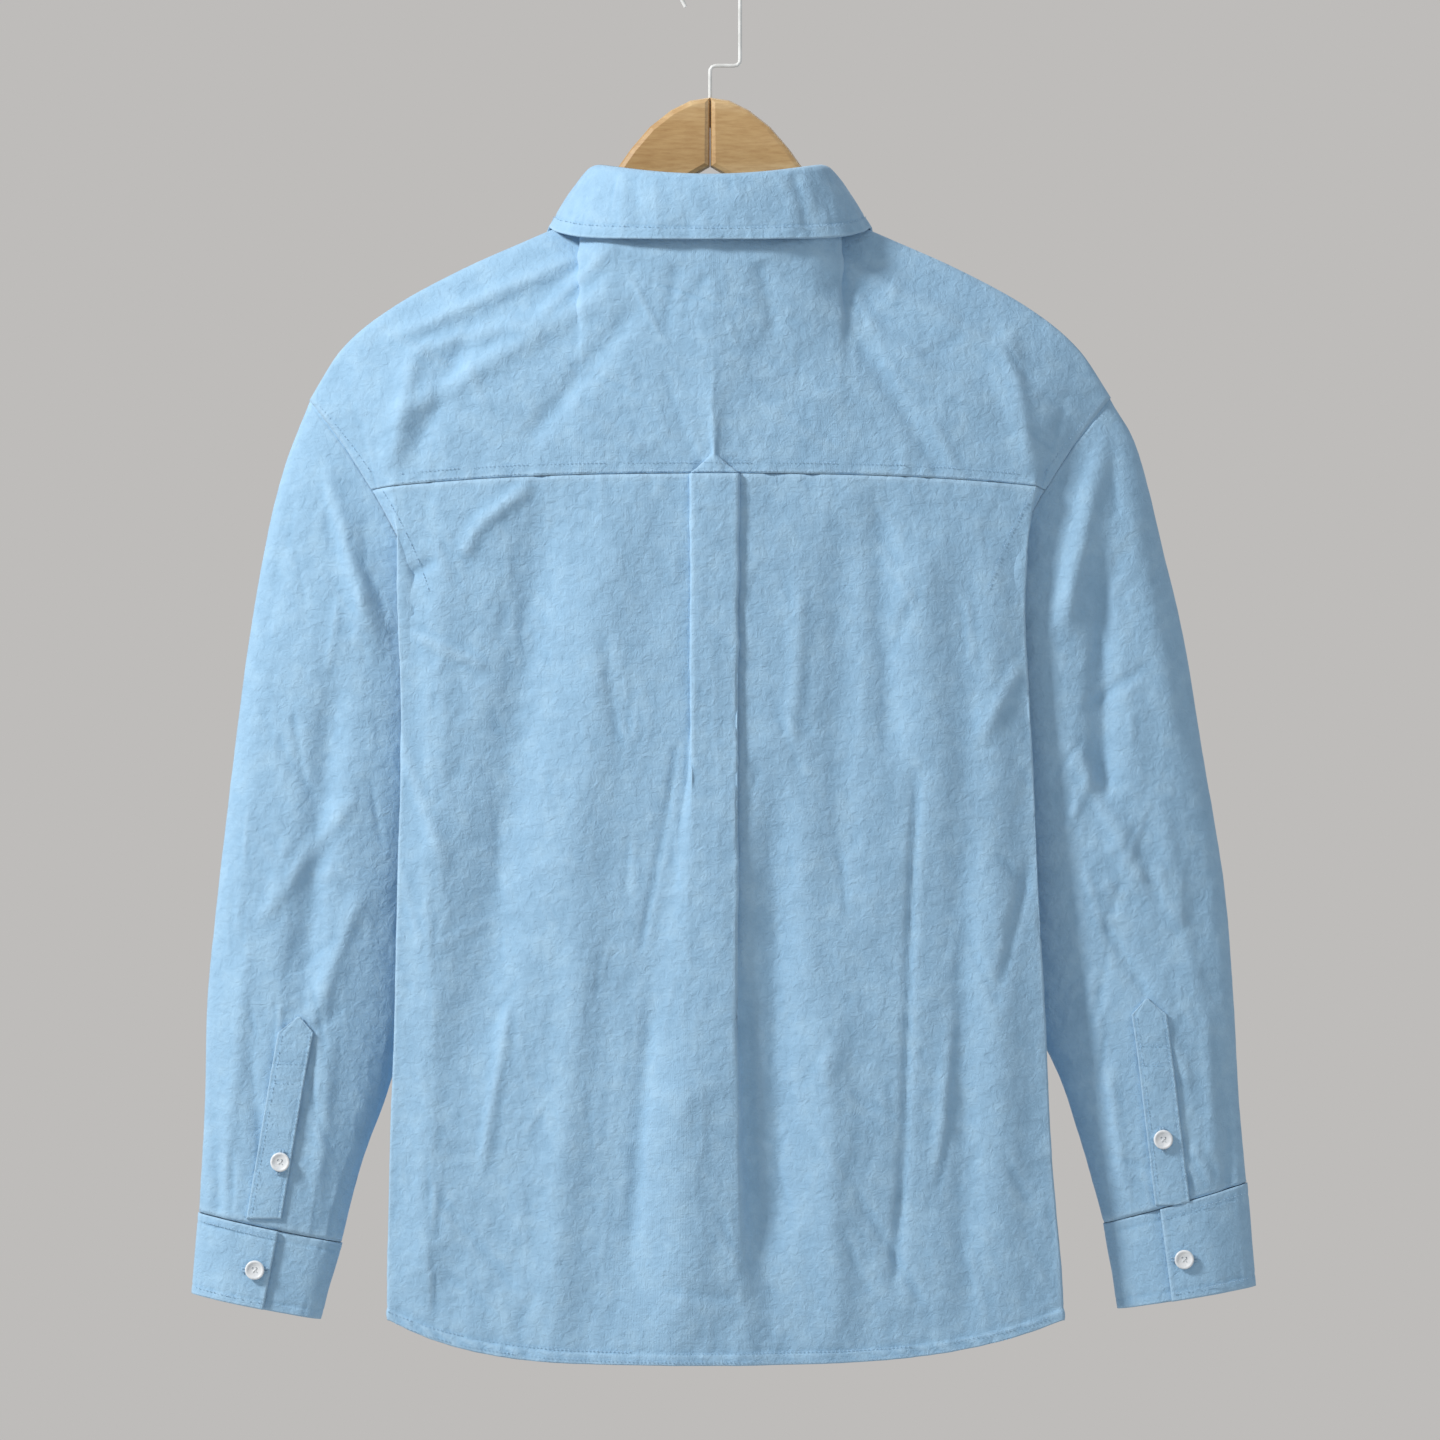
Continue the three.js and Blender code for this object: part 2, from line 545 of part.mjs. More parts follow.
// share runs from the seam (0) to the middle of the front (1), v from the top edge (0) to the hem (1).
function frontPoint(side, share, v) {
  const shoulder = armholeEdge(side, -SHOULDER_SEAM_END_ANGLE);
  const sideZ = mix(shoulder.z, SIDE_HEM_Z, v);
  const inward = ease((UNDERARM_Z + 15 - sideZ) / 140);
  const flat = Math.max(0, (share - FRONT_WRAP_SHARE) / (1 - FRONT_WRAP_SHARE));
  const top = frontTop(side, share);
  const hemZ = mix(SIDE_HEM_Z - 22, FRONT_HEM_Z, 1 - (1 - flat) ** 3);
  const z = mix(top.z, hemZ, v);
  const seam = seamPoint(side, sideZ, -1);
  const edgeX = mix(Math.abs(seam[0]) - 6, FRONT_FOLD_X, inward);
  const topBlend = Math.exp(-Math.max(0, top.z - z) / 70);
  const x = mix(side * edgeX * (1 - flat), top.x, topBlend);
  const crown = 1 - Math.min(1, (x / 200) ** 2);
  const depth = mix(23, 24, v) + 13 * crown + lift(FRONT_FOLDS, x, z) * (1 - topBlend);
  const body = vector(x, mix(depth, top.y, topBlend), z);
  if (share >= FRONT_WRAP_SHARE) {
    return body;
  }
  const t = 1 - share / FRONT_WRAP_SHARE;
  const leave = [mix(body.x, side * (FRONT_FOLD_X + 5), inward), body.y, body.z];
  const arrive = [seam[0] + side * 2 * inward, seam[1] + 9 * inward, mix(body.z, sideZ, 0.8)];
  return v === 0 ? top : vector(...bezier(body.toArray(), leave, arrive, seam, t));
}

// ---------- collar ----------

function collarTop(angle) {
  const [across, alongY] = [Math.sin(radians(angle)), Math.cos(radians(angle))];
  const top = Math.abs(angle) < 90 ? COLLAR_BACK_TOP_Z : COLLAR_FRONT_TOP_Z;
  const z = COLLAR_SIDE_TOP_Z + (top - COLLAR_SIDE_TOP_Z) * alongY * alongY;
  return vector(COLLAR_TOP_HALF_WIDTH * across, -COLLAR_TOP_HALF_DEPTH * alongY, z);
}

const STAND_LAP = 9; // degrees that each end of the stand runs past the middle of the front

function standPoint(angle, share) {
  const base = neckPoint(Math.abs(angle) > 180 ? Math.sign(angle) * (360 - Math.abs(angle)) * -1 : angle);
  const top = collarTop(angle);
  const onRidge = Math.sin(radians(angle)) ** 2;
  base.z += SEAM_GAP + 1.6 * onRidge;
  const lapped = Math.sign(angle) * 1.3 * ease((Math.abs(angle) - 150) / 18);
  const point = base.lerp(top, share);
  point.y -= Math.cos(radians(angle)) * lapped;
  return point;
}

const edgeOf = Object.fromEntries(["x", "y", "z"].map((axis) => [axis, column(COLLAR_EDGE, "angle", axis)]));

function leafPoint(angle, share) {
  const side = Math.sign(angle) || 1;
  const top = collarTop(angle);
  const outward = vector(top.x / COLLAR_TOP_HALF_WIDTH, top.y / COLLAR_TOP_HALF_DEPTH, 0).normalize();
  const clear = DOUBLE_CLOTH + 0.4 + 1.5 * ease((Math.abs(angle) - 140) / 15);
  top.addScaledVector(outward, clear);
  top.z += 0.8;
  const edge = vector(side * edgeOf.x(Math.abs(angle)), edgeOf.y(Math.abs(angle)), edgeOf.z(Math.abs(angle)));
  const point = top.clone().lerp(edge, share);
  const swell = Math.sqrt(share) * (1 - share) * 7;
  return point.addScaledVector(outward, swell);
}

// ---------- pieces ----------

const shirt = new THREE.Group();
const looks = {
  cloth: new THREE.MeshStandardMaterial({ color: "#8fb3cf", roughness: 0.9, metalness: 0 }),
  button: new THREE.MeshStandardMaterial({ color: "#e9ebee", roughness: 0.35, metalness: 0 }),
  wood: new THREE.MeshStandardMaterial({ color: "#cfa978", roughness: 0.5, metalness: 0 }),
  wire: new THREE.MeshStandardMaterial({ color: "#e8e8e6", roughness: 0.35, metalness: 0.1 }),
};

function addPiece(name, geometry, look) {
  const mesh = new THREE.Mesh(geometry, looks[look]);
  mesh.name = name;
  shirt.add(mesh);
  return mesh;
}

const insideBody = vector(0, 3, -600);

function addBack() {
  const half = [
    ...steps(0, PLEAT_TOP_SHARE, 1),
    ...steps(PLEAT_TOP_SHARE, PLEAT_FOLD_SHARE, 5).slice(1),
    ...steps(PLEAT_FOLD_SHARE, CLOTH_SIDE_FOLD, 7).slice(1),
    ...steps(CLOTH_SIDE_FOLD, 0.9975, 5).slice(1),
  ];
  const us = [...half.slice(1).map((share) => -share).reverse(), ...half];
  const vs = steps(0, 1, 12);
  addPiece("back_panel", wall(backPoint, us, vs, CLOTH, { inside: insideBody }), "cloth");
}

function addYoke() {
  const stops = [0, 0.17, 0.32, 0.42, 0.5, 0.62, 0.75, 0.87, 0.95, 0.997];
  const fine = stops.slice(1).flatMap((stop, i) => [mix(stops[i], stop, 0.5), stop]);
  const us = [...fine.map((share) => -share).reverse(), 0, ...fine];
  addPiece("back_yoke", wall(yokePoint, us, steps(0, 0.988, 12), CLOTH, { inside: vector(0, 3, -400) }), "cloth");
}

function addFronts() {
  for (const [side, name, lastX] of [[LEFT, "front_left", 12.5], [RIGHT, "front_right", -11.5]]) {
    const shares = [0.005, ...steps(0, FRONT_WRAP_SHARE, 4).slice(1), ...steps(FRONT_WRAP_SHARE, 0.94, 8).slice(1), 1];
    const surface = (share, v) => {
      const point = frontPoint(side, share, v);
      const past = (share - 0.94) / 0.06;
      if (past > 0) {
        const edge = frontPoint(side, 0.94, v);
        point.x = mix(edge.x, side * lastX, past);
      }
      point.z -= 2 * SEAM_GAP * (1 - v);
      return point;
    };
    addPiece(name, wall(surface, shares, steps(0, 1, 12), CLOTH, { inside: insideBody }), "cloth");
  }
}

addBack();
addYoke();
addFronts();

function addSleeves() {
  for (const [side, name] of [[LEFT, "left"], [RIGHT, "right"]]) {
    const middle = ringPoint(sleeveRing[side](0.5), side, 0).lerp(ringPoint(sleeveRing[side](0.5), side, 180), 0.5);
    const angles = steps(0, 360, 22).slice(0, -1);
    const shares = [0.006, 0.05, ...steps(0.11, 0.999, 13)];
    const surface = (angle, share) => sleevePoint(side, angle, share);
    addPiece(`sleeve_${name}`, wall(surface, angles, shares, CLOTH, { inside: middle, ring: true }), "cloth");
  }
}

addSleeves();


// The cuff is one band: its top layer ends at the opening edge, and its under layer runs on below it.
const CUFF_LAP = 24; // degrees of the under layer that lie below the top layer
const CUFF_LAYER = 1.35; // how far each layer leaves the middle of the lap

function cuffPoint(side, turn, share) {
  const ring = cuffRing[side](share);
  const angle = CUFF_EDGE_ANGLE[side] - turn;
  const point = ringPoint(ring, side, angle);
  const top = ease((70 - turn) / 40);
  const under = ease((turn - (360 + CUFF_LAP - 70)) / 40);
  point.y -= CUFF_LAYER * (top - under) * Math.sin(radians(angle));
  return point;
}

function addCuffs() {
  for (const [side, name] of [[LEFT, "left"], [RIGHT, "right"]]) {
    const middle = ringPoint(cuffRing[side](0.5), side, 0).lerp(ringPoint(cuffRing[side](0.5), side, 180), 0.5);
    const turns = steps(0, 360 + CUFF_LAP, 24);
    const surface = (turn, share) => cuffPoint(side, turn, share);
    const band = wall(surface, turns, [0, 0.5, 0.93, 1], DOUBLE_CLOTH, { inside: middle });
    addPiece(`cuff_${name}`, band, "cloth");
  }
}

// A strip that lies on the back-facing side of the sleeve, from its tip down to the cuff.
function addSleevePlackets() {
  for (const [side, name] of [[LEFT, "left"], [RIGHT, "right"]]) {
    const { tipX, tipZ, footX, footZ } = SLEEVE_PLACKET[side];
    const surface = (across, share) => {
      const z = mix(tipZ, footZ, share);
      const fromTip = (tipZ - z) / PLACKET_TIP_HEIGHT;
      const half = Math.max(0.8, PLACKET_STRIP_HALF_WIDTH * Math.min(1, fromTip));
      return sleeveAt(side, mix(tipX, footX, share) + across * half, z);
    };
    const shares = [0.004, PLACKET_TIP_HEIGHT / (tipZ - footZ), ...steps(0.2, 1, 6)];
    const raised = CLOTH / 2 + DOUBLE_CLOTH / 2 + 0.35;
    const middle = ringPoint(sleeveRing[side](0.9), side, 0).lerp(ringPoint(sleeveRing[side](0.9), side, 180), 0.5);
    const strip = wall(surface, steps(-1, 1, 4), shares, DOUBLE_CLOTH, { inside: middle, moved: raised });
    addPiece(`sleeve_placket_${name}`, strip, "cloth");
  }
}

// The point of the sleeve's back-facing side at a given x and z.
function sleeveAt(side, x, z) {
  let share = 0.8;
  let angle = 90;
  for (let pass = 0; pass < 12; pass += 1) {
    const ring = sleeveRing[side](share);
    angle = angleAtX(ring, x);
    const error = ringPoint(ring, side, angle).z - z;
    share = limit(share + error / 560);
  }
  return sleevePoint(side, angle, share);
}

function frontMiddle(z) {
  const top = frontTop(LEFT, 1).z;
  return frontPoint(LEFT, 1, (z - top) / (FRONT_HEM_Z - top));
}

function addFrontPlacket() {
  const surface = (across, v) => {
    const point = frontPoint(LEFT, 1, v);
    point.x = across * FRONT_PLACKET_HALF_WIDTH;
    point.z -= SEAM_GAP + 0.6 - SEAM_GAP * v;
    return point;
  };
  const raised = CLOTH / 2 + DOUBLE_CLOTH / 2 + 0.5;
  const strip = wall(surface, steps(-1, 1, 4), steps(0, 1, 12), DOUBLE_CLOTH, { inside: insideBody, moved: raised });
  addPiece("front_placket", strip, "cloth");
}

function addCollar() {
  const standAngles = steps(-180 - STAND_LAP, 180 + STAND_LAP, 36);
  const inNeck = vector(0, 0, -180);
  addPiece("collar_stand", wall(standPoint, standAngles, steps(0, 1, 3), DOUBLE_CLOTH, { inside: inNeck }), "cloth");
  const leafAngles = steps(-173, 173, 38);
  const shares = [0, 0.06, 0.2, 0.5, 1];
  addPiece("collar_leaf", wall(leafPoint, leafAngles, shares, DOUBLE_CLOTH, { inside: inNeck }), "cloth");
}

function addButton(name, diameter, place, facing) {
  const disc = new THREE.CylinderGeometry(diameter / 2, diameter / 2 - 0.5, BUTTON_THICKNESS, 20);
  disc.applyQuaternion(new THREE.Quaternion().setFromUnitVectors(vector(0, 1, 0), facing));
  const mesh = addPiece(name, disc, "button");
  mesh.position.copy(place).addScaledVector(facing, BUTTON_THICKNESS / 2 + 0.35);
}

function addButtons() {
  const toFront = vector(0, 1, 0);
  const onPlacket = CLOTH / 2 + DOUBLE_CLOTH + 0.5;
  for (let i = 0; i < FRONT_BUTTON_COUNT; i += 1) {
    const z = FRONT_BUTTON_TOP_Z - i * FRONT_BUTTON_STEP;
    const place = frontMiddle(z);
    place.y += onPlacket + (i === 0 ? 0.6 : 0.15);
    addButton(`front_button_${i + 1}`, BUTTON_DIAMETER, place, toFront);
  }
  const neck = standPoint(180, 0.5);
  neck.y += DOUBLE_CLOTH / 2 + 0.8;
  addButton("collar_button", BUTTON_DIAMETER, neck, toFront);
  for (const [side, name] of [[LEFT, "left"], [RIGHT, "right"]]) {
    const { buttonX, buttonZ } = SLEEVE_PLACKET[side];
    const onSleeve = sleeveAt(side, buttonX, buttonZ);
    onSleeve.y -= CLOTH / 2 + DOUBLE_CLOTH + 0.5;
    addButton(`placket_button_${name}`, CUFF_BUTTON_DIAMETER, onSleeve, vector(0, -1, 0));
    const { x, z } = CUFF_BUTTON[side];
    const share = limit((SLEEVE_RINGS[side][8].outerZ - 8 - z) / 52);
    const ring = cuffRing[side](share);
    const onCuff = ringPoint(ring, side, angleAtX(ring, x));
    onCuff.set(x, onCuff.y - CUFF_LAYER - DOUBLE_CLOTH / 2 - 0.2, z);
    addButton(`cuff_button_${name}`, CUFF_BUTTON_DIAMETER, onCuff, vector(0, -1, 0));
  }
}

// ---------- hanger ----------

const wasm = await Module();
wasm.setup();

function toSolid(geometry) {
  const bare = geometry.clone();
  bare.deleteAttribute("normal");
  bare.deleteAttribute("uv");
  const merged = mergeVertices(bare, 1e-4);
  const vertProperties = Float32Array.from(merged.attributes.position.array);
  const triVerts = Uint32Array.from(merged.index.array);
  return new wasm.Manifold(new wasm.Mesh({ numProp: 3, vertProperties, triVerts }));
}

function toGeometry(solid) {
  const { vertProperties, triVerts } = solid.getMesh();
  const geometry = new THREE.BufferGeometry();
  geometry.setAttribute("position", new THREE.BufferAttribute(vertProperties, 3));
  geometry.setIndex(new THREE.BufferAttribute(triVerts, 1));
  return geometry;
}

// Half of the board: its outline in the x-z plane, given thickness, with the hook's bore cut out.
function boardHalf(side) {
  const grow = BOARD_BEVEL;
  const armXs = steps(90, BOARD_TIP_X - 14, 6);
  const topAt = (x) => ridgeZ(x) - BOARD_ARM_CLEARANCE;
  const armTop = armXs.map((x) => ({ x, z: topAt(x) }));
  const tip = [
    { x: BOARD_TIP_X, z: topAt(BOARD_TIP_X) - 8 },
    { x: BOARD_TIP_X - 4, z: topAt(BOARD_TIP_X) - 24 },
  ];
  const armLow = armXs.slice(0, -1).reverse().map((x) => ({ x, z: topAt(x) - BOARD_ARM_HEIGHT }));
  const outline = [...BOARD_TOP, ...armTop, ...tip, ...armLow, ...BOARD_LOWER];
  const middleX = SEAM_GAP / 2;
  const shape = new THREE.Shape(outline.map(({ x, z }) => new THREE.Vector2(side * Math.max(x, middleX), z)));
  const body = new THREE.ExtrudeGeometry(shape, {
    depth: BOARD_THICKNESS - 2 * grow,
    bevelThickness: grow,
    bevelSize: grow,
    bevelOffset: -grow,
    bevelSegments: 2,
  });
  body.rotateX(Math.PI / 2);
  body.translate(0, BOARD_THICKNESS / 2 - grow, 0);
  const bore = new THREE.CylinderGeometry(HOOK_WIRE / 2 + 0.35, HOOK_WIRE / 2 + 0.35, 2 * HOOK_BORE_DEPTH, 16);
  bore.rotateX(Math.PI / 2);
  bore.translate(0, 0, BOARD_TOP[0].z);
  return toGeometry(toSolid(body).subtract(toSolid(bore)));
}

// The wire: up out of the board, cranked to the right, up again, and over in an arc to its tip.
class HookLine extends THREE.CurvePath {
  constructor() {
    super();
    const crankZ = -69.5;
    const bend = 4;
    const foot = vector(0, 0, BOARD_TOP[0].z - HOOK_BORE_DEPTH + 2);
    const arcZ = -HOOK_RADIUS + HOOK_WIRE / 2;
    this.straight(foot, vector(0, 0, crankZ - bend));
    this.round(vector(0, 0, crankZ - bend), vector(0, 0, crankZ), vector(bend, 0, crankZ));
    this.straight(vector(bend, 0, crankZ), vector(HOOK_RADIUS - bend, 0, crankZ));
    this.round(vector(HOOK_RADIUS - bend, 0, crankZ), vector(HOOK_RADIUS, 0, crankZ), vector(HOOK_RADIUS, 0, crankZ + bend));
    this.straight(vector(HOOK_RADIUS, 0, crankZ + bend), vector(HOOK_RADIUS, 0, arcZ));
    const arc = steps(0, 215, 12).map((angle) => vector(
      HOOK_RADIUS * Math.cos(radians(angle)), 0, arcZ + HOOK_RADIUS * Math.sin(radians(angle)),
    ));
    this.add(new THREE.CatmullRomCurve3(arc));
  }

  straight(from, to) {
    this.add(new THREE.LineCurve3(from, to));
  }

  round(from, corner, to) {
    this.add(new THREE.QuadraticBezierCurve3(from, corner, to));
  }
}

function addHanger() {
  addPiece("hanger_board_left", boardHalf(LEFT), "wood");
  addPiece("hanger_board_right", boardHalf(RIGHT), "wood");
  const line = new HookLine();
  const points = line.getSpacedPoints(70);
  const smoothLine = new THREE.CatmullRomCurve3(points);
  const section = new THREE.Shape(steps(0, 360, 10).slice(0, -1).map((angle) => new THREE.Vector2(
    (HOOK_WIRE / 2) * Math.cos(radians(angle)), (HOOK_WIRE / 2) * Math.sin(radians(angle)),
  )));
  const wire = new THREE.ExtrudeGeometry(section, { steps: 76, bevelEnabled: false, extrudePath: smoothLine });
  addPiece("hanger_hook", wire, "wire");
}

addCuffs();
addSleevePlackets();
addFrontPlacket();
addCollar();
addButtons();
addHanger();

export default shirt;
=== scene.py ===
# %% [markdown]
# # A washed cotton shirt on its hanger
# The construction model gives the frame: metres, +Z up, the shirt's back towards -Y, and the origin at
# the hook. The cloth is rebuilt here as thin shells on the same sections, so that creases, seam puckers,
# stitches and the weave can be added without moving anything.

# %% Load the frame
import json
import math
import bmesh
import bpy
import numpy as np
from mathutils import Matrix, Vector

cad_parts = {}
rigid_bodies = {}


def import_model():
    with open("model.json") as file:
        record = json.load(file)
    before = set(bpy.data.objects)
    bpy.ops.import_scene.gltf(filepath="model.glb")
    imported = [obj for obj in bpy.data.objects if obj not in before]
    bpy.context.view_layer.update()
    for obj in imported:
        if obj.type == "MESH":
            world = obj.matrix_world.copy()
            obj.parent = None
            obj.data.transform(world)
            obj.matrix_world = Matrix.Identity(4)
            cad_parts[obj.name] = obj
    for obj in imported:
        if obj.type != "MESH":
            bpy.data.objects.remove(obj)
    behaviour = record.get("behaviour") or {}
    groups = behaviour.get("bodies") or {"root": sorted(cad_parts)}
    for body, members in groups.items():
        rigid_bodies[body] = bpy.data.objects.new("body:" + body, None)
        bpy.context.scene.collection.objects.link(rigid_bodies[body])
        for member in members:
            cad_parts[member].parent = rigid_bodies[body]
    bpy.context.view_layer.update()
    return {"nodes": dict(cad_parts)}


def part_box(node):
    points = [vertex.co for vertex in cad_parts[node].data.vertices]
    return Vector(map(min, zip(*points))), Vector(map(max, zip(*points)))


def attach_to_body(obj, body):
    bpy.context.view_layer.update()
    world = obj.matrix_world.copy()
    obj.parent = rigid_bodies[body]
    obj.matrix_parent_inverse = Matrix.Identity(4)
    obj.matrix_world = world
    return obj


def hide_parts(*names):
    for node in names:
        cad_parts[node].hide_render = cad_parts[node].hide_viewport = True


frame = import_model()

MM = 0.001
LEFT, RIGHT = -1, 1
SIDES = ((LEFT, "left"), (RIGHT, "right"))

# %% [markdown]
# ## Camera
# The camera comes first. It looks straight at the back of the shirt from four metres, which keeps the
# perspective as flat as a long lens gives.

# %% Camera
CAMERA_DISTANCE = 4.0
FRAME_WIDTH = 0.95
LOOK_AT = Vector((0.0066, -0.045, -0.506))
camera_data = bpy.data.cameras.new("camera")
camera_data.sensor_width = 36
camera_data.lens = 36 * CAMERA_DISTANCE / FRAME_WIDTH
camera = bpy.data.objects.new("camera", camera_data)
camera.location = LOOK_AT + Vector((0, -CAMERA_DISTANCE, 0))
camera.rotation_euler = (math.pi / 2, 0, 0)
bpy.context.collection.objects.link(camera)
bpy.context.scene.camera = camera
print("lens", round(camera_data.lens, 1), "mm")

# %% [markdown]
# ## Sizes
# All sizes are millimetres until a mesh is made. Short tables hold the sections that shape the cloth.

# %% Driving sizes
CLOTH = 1.0
DOUBLE_CLOTH = 1.6
SEAM_GAP = 0.3
YOKE_SEAM_Z = -343
UNDERARM_Z = -520
BACK_HEM_Z, FRONT_HEM_Z, SIDE_HEM_Z = -932, -924, -884
SIDE_FOLD_SHARE = 0.82
NECK_HALF_WIDTH, NECK_HALF_DEPTH = 84, 42
NECK_BACK_Z, NECK_SIDE_Z, NECK_FRONT_Z = -184, -169, -240
COLLAR_TOP_HALF_WIDTH, COLLAR_TOP_HALF_DEPTH = 75, 38
COLLAR_BACK_TOP_Z, COLLAR_SIDE_TOP_Z, COLLAR_FRONT_TOP_Z = -147, -138, -210
SHOULDER_SEAM_ANGLE, SHOULDER_SEAM_END_ANGLE, SHOULDER_SEAM_DROP = 112, 44, 27
ARMHOLE_LAP = 2
PLEAT_CENTRE_X, PLEAT_HALF_WIDTH, PLEAT_STEP = 3, 15.5, 1.7
FRONT_FOLD_X, FRONT_WRAP = 188, 0.16

# Side folds of the body: z, left x, right x.
SIDE_FOLD = [(-345, -215, 221), (-375, -212, 217), (-430, -213, 215), (-486, -211, 218),
             (-530, -211, 220.5), (-620, -214, 225), (-705, -216, 229.5), (-777, -218.7, 233),
             (-860, -220.4, 240), (-935, -219, 242)]
# The box pleat: z, depth folded under on the left and right (negative where it spreads), lift.
PLEAT = [(-343, 11, 11, 1), (-430, 7, 9, 1), (-520, 1, 6, 1.1), (-600, -14, 3.5, 1.3),
         (-700, -34, -1, 1.7), (-820, -48, -16, 1.8), (-935, -60, -30, 1.2)]
# Sleeve rings: outer x, outer z, inner x, inner z, half depth, middle y, inward bow.
SLEEVE_RINGS = {
    LEFT: [(-268, -296, -185, -520, 20, 6, 29), (-284, -338, -190, -552, 21, 6.5, 20),
           (-298, -396, -194, -590, 21, 7, 12), (-309, -462, -197, -630, 20, 8, 7),
           (-319, -540, -199, -674, 19, 8.5, 4), (-328, -618, -206, -718, 18.5, 9, 2),
           (-335, -690, -217, -758, 18, 8, 0), (-337, -764, -232, -798, 17, 8, 0),
           (-341, -835, -247, -855, 15, 8, 0)],
    RIGHT: [(268, -294, 185, -520, 20, 6, 31), (285, -326, 190, -552, 21, 6.5, 22),
            (302, -392, 194, -588, 21, 7, 13), (317, -458, 198, -626, 20, 8, 7),
            (330, -538, 203, -668, 19, 8.5, 4), (343, -615, 215, -706, 18.5, 9, 2),
            (349, -688, 233, -742, 18, 8, 0), (353, -762, 249, -790, 17, 8, 0),
            (358, -815, 264, -842, 15, 8, 0)],
}
CUFF_RINGS = {
    LEFT: [(-341.2, -835.2, -246.8, -855.2, 15, 8, 0), (-346, -889, -261, -906, 15, 8, 0)],
    RIGHT: [(358.2, -815.2, 263.8, -842.2, 15, 8, 0), (364, -884, 273, -899, 15, 8, 0)],
}
# Yoke stations: share of the half width, x at the back seam, angle round the neck or x on the ridge.
YOKE_STATIONS = [(0.0, 0, 0, None), (0.17, 36, 30, None), (0.32, 70, 60, None), (0.42, 92, 90, None),
                 (0.5, 108, 112, None), (0.62, 134, None, 120), (0.75, 162, None, 168),
                 (0.87, 190, None, 214), (0.95, 208, None, 246)]
SHOULDER_RIDGE = [(60, -160), (86, -170.5), (108, -180.5), (146, -197.5), (172, -209.5), (200, -225),
                  (218, -236), (236, -250), (250, -265), (262, -281), (270, -296)]
# The collar leaf's edge: angle from the middle of the back, x, y, z.
COLLAR_EDGE = [(0, 0, -48, -189), (35, 48, -45.5, -188.5), (62, 84, -33, -186.5), (80, 102, -15, -181.5),
               (92, 107.5, 2, -178), (112, 107, 22, -192), (135, 97, 41, -224), (158, 73, 51, -266),
               (173, 52, 54, -296)]
PLACKET = {LEFT: (-274, -703, -297, -838), RIGHT: (291, -691, 308, -829)}
PLACKET_BUTTON = {LEFT: (-286, -800), RIGHT: (301.4, -785)}
CUFF_BUTTON = {LEFT: (-303, -872), RIGHT: (315.5, -865)}
CUFF_EDGE_ANGLE = {LEFT: 98, RIGHT: 104}
# Lengths of the pieces along the cloth, for laying puckers and stitches.
BACK_LENGTH, YOKE_LENGTH, FRONT_LENGTH, SLEEVE_LENGTH = 588, 220, 640, 560
LEAF_HEIGHT, CUFF_HEIGHT, PLACKET_LENGTH = 46, 53, 135
FRONT_PLACKET_HALF, SLEEVE_PLACKET_HALF, PLACKET_TIP = 17, 11.5, 11
CROSS_STITCHES = (31, 44)
FRONT_NECK_SHARE, FRONT_EDGE_SHARE = 0.52, 0.94
BEHIND = -60
ARMHOLE_STITCH = 7
print("sizes set")

# %% [markdown]
# ## Folds
# Each fold is one row: its two ends in x and z, how far it rises or sinks, and its half width. Wide rows
# are the soft falls of the cloth and narrow ones are creases. They are uneven, as in worn cotton.

# %% Fold tables
BACK_FOLDS = [
    (-112, -374, -154, -730, -4.2, 18), (-60, -360, -96, -640, 2.2, 20), (140, -390, 150, -580, 3, 18),
    (44, -560, 42, -860, -4.5, 15), (-20, -740, -18, -915, 3, 22), (-176, -380, -190, -900, 2, 12),
    (-84, -640, -104, -915, 2.4, 13), (88, -380, 84, -620, -2.2, 14), (78, -700, 84, -915, 2.2, 12),
    (184, -400, 196, -880, 2.2, 14), (112, -360, 118, -520, -2, 9), (166, -600, 170, -900, -1.8, 9),
    (-22, -523, -29, -572, -1.1, 2.2), (-29, -572, -46, -658, -1.0, 2.4), (137, -546, 133, -625, -1.6, 3),
    (133, -625, 131, -691, -1.5, 3), (131, -691, 129, -783, -1.6, 3), (129, -783, 122, -880, -1.8, 4),
    (-122, -353, -155, -379, 2.2, 5), (-155, -379, -162, -396, 1.8, 5), (-213, -430, -196, -434, -1.6, 2.5),
    (-211, -418, -181, -400, -1.8, 4), (-196, -450, -150, -470, 1.3, 4), (-205, -520, -176, -600, 1.4, 5),
    (205, -470, 178, -520, 1.4, 5), (212, -600, 190, -690, -1.3, 4), (-134, -700, -150, -800, 1.4, 4),
    (60, -420, 54, -520, 1.3, 5), (-70, -450, -60, -520, -1.1, 4), (160, -700, 150, -800, 1.2, 4),
    (24, -690, 30, -860, -2.4, 6), (-40, -700, -52, -860, -1.6, 6), (98, -820, 140, -890, -1.2, 4),
    (-180, -820, -130, -880, -1.2, 4), (-30, -880, 20, -890, -0.8, 4),
]
YOKE_FOLDS = [
    (-79, -196, -205, -250, 2.4, 6), (-67, -196, -114, -241, 1.6, 5), (-114, -241, -197, -262, 1.6, 6),
    (-72, -225, -205, -304, 2.4, 8), (-50, -235, -120, -320, -1.6, 7), (80, -200, 196, -262, 1.9, 7),
    (70, -230, 196, -306, 1.8, 9), (96, -250, 150, -335, -1.5, 7), (-160, -250, -196, -330, -1.6, 7),
    (196, -250, 212, -335, 2.2, 7), (-196, -262, -210, -335, 2.2, 7), (-20, -200, -30, -250, -0.9, 5),
    (30, -196, 44, -250, -0.9, 5), (0, -260, 90, -300, 0.9, 7), (-100, -290, -40, -330, 1.0, 6),
]
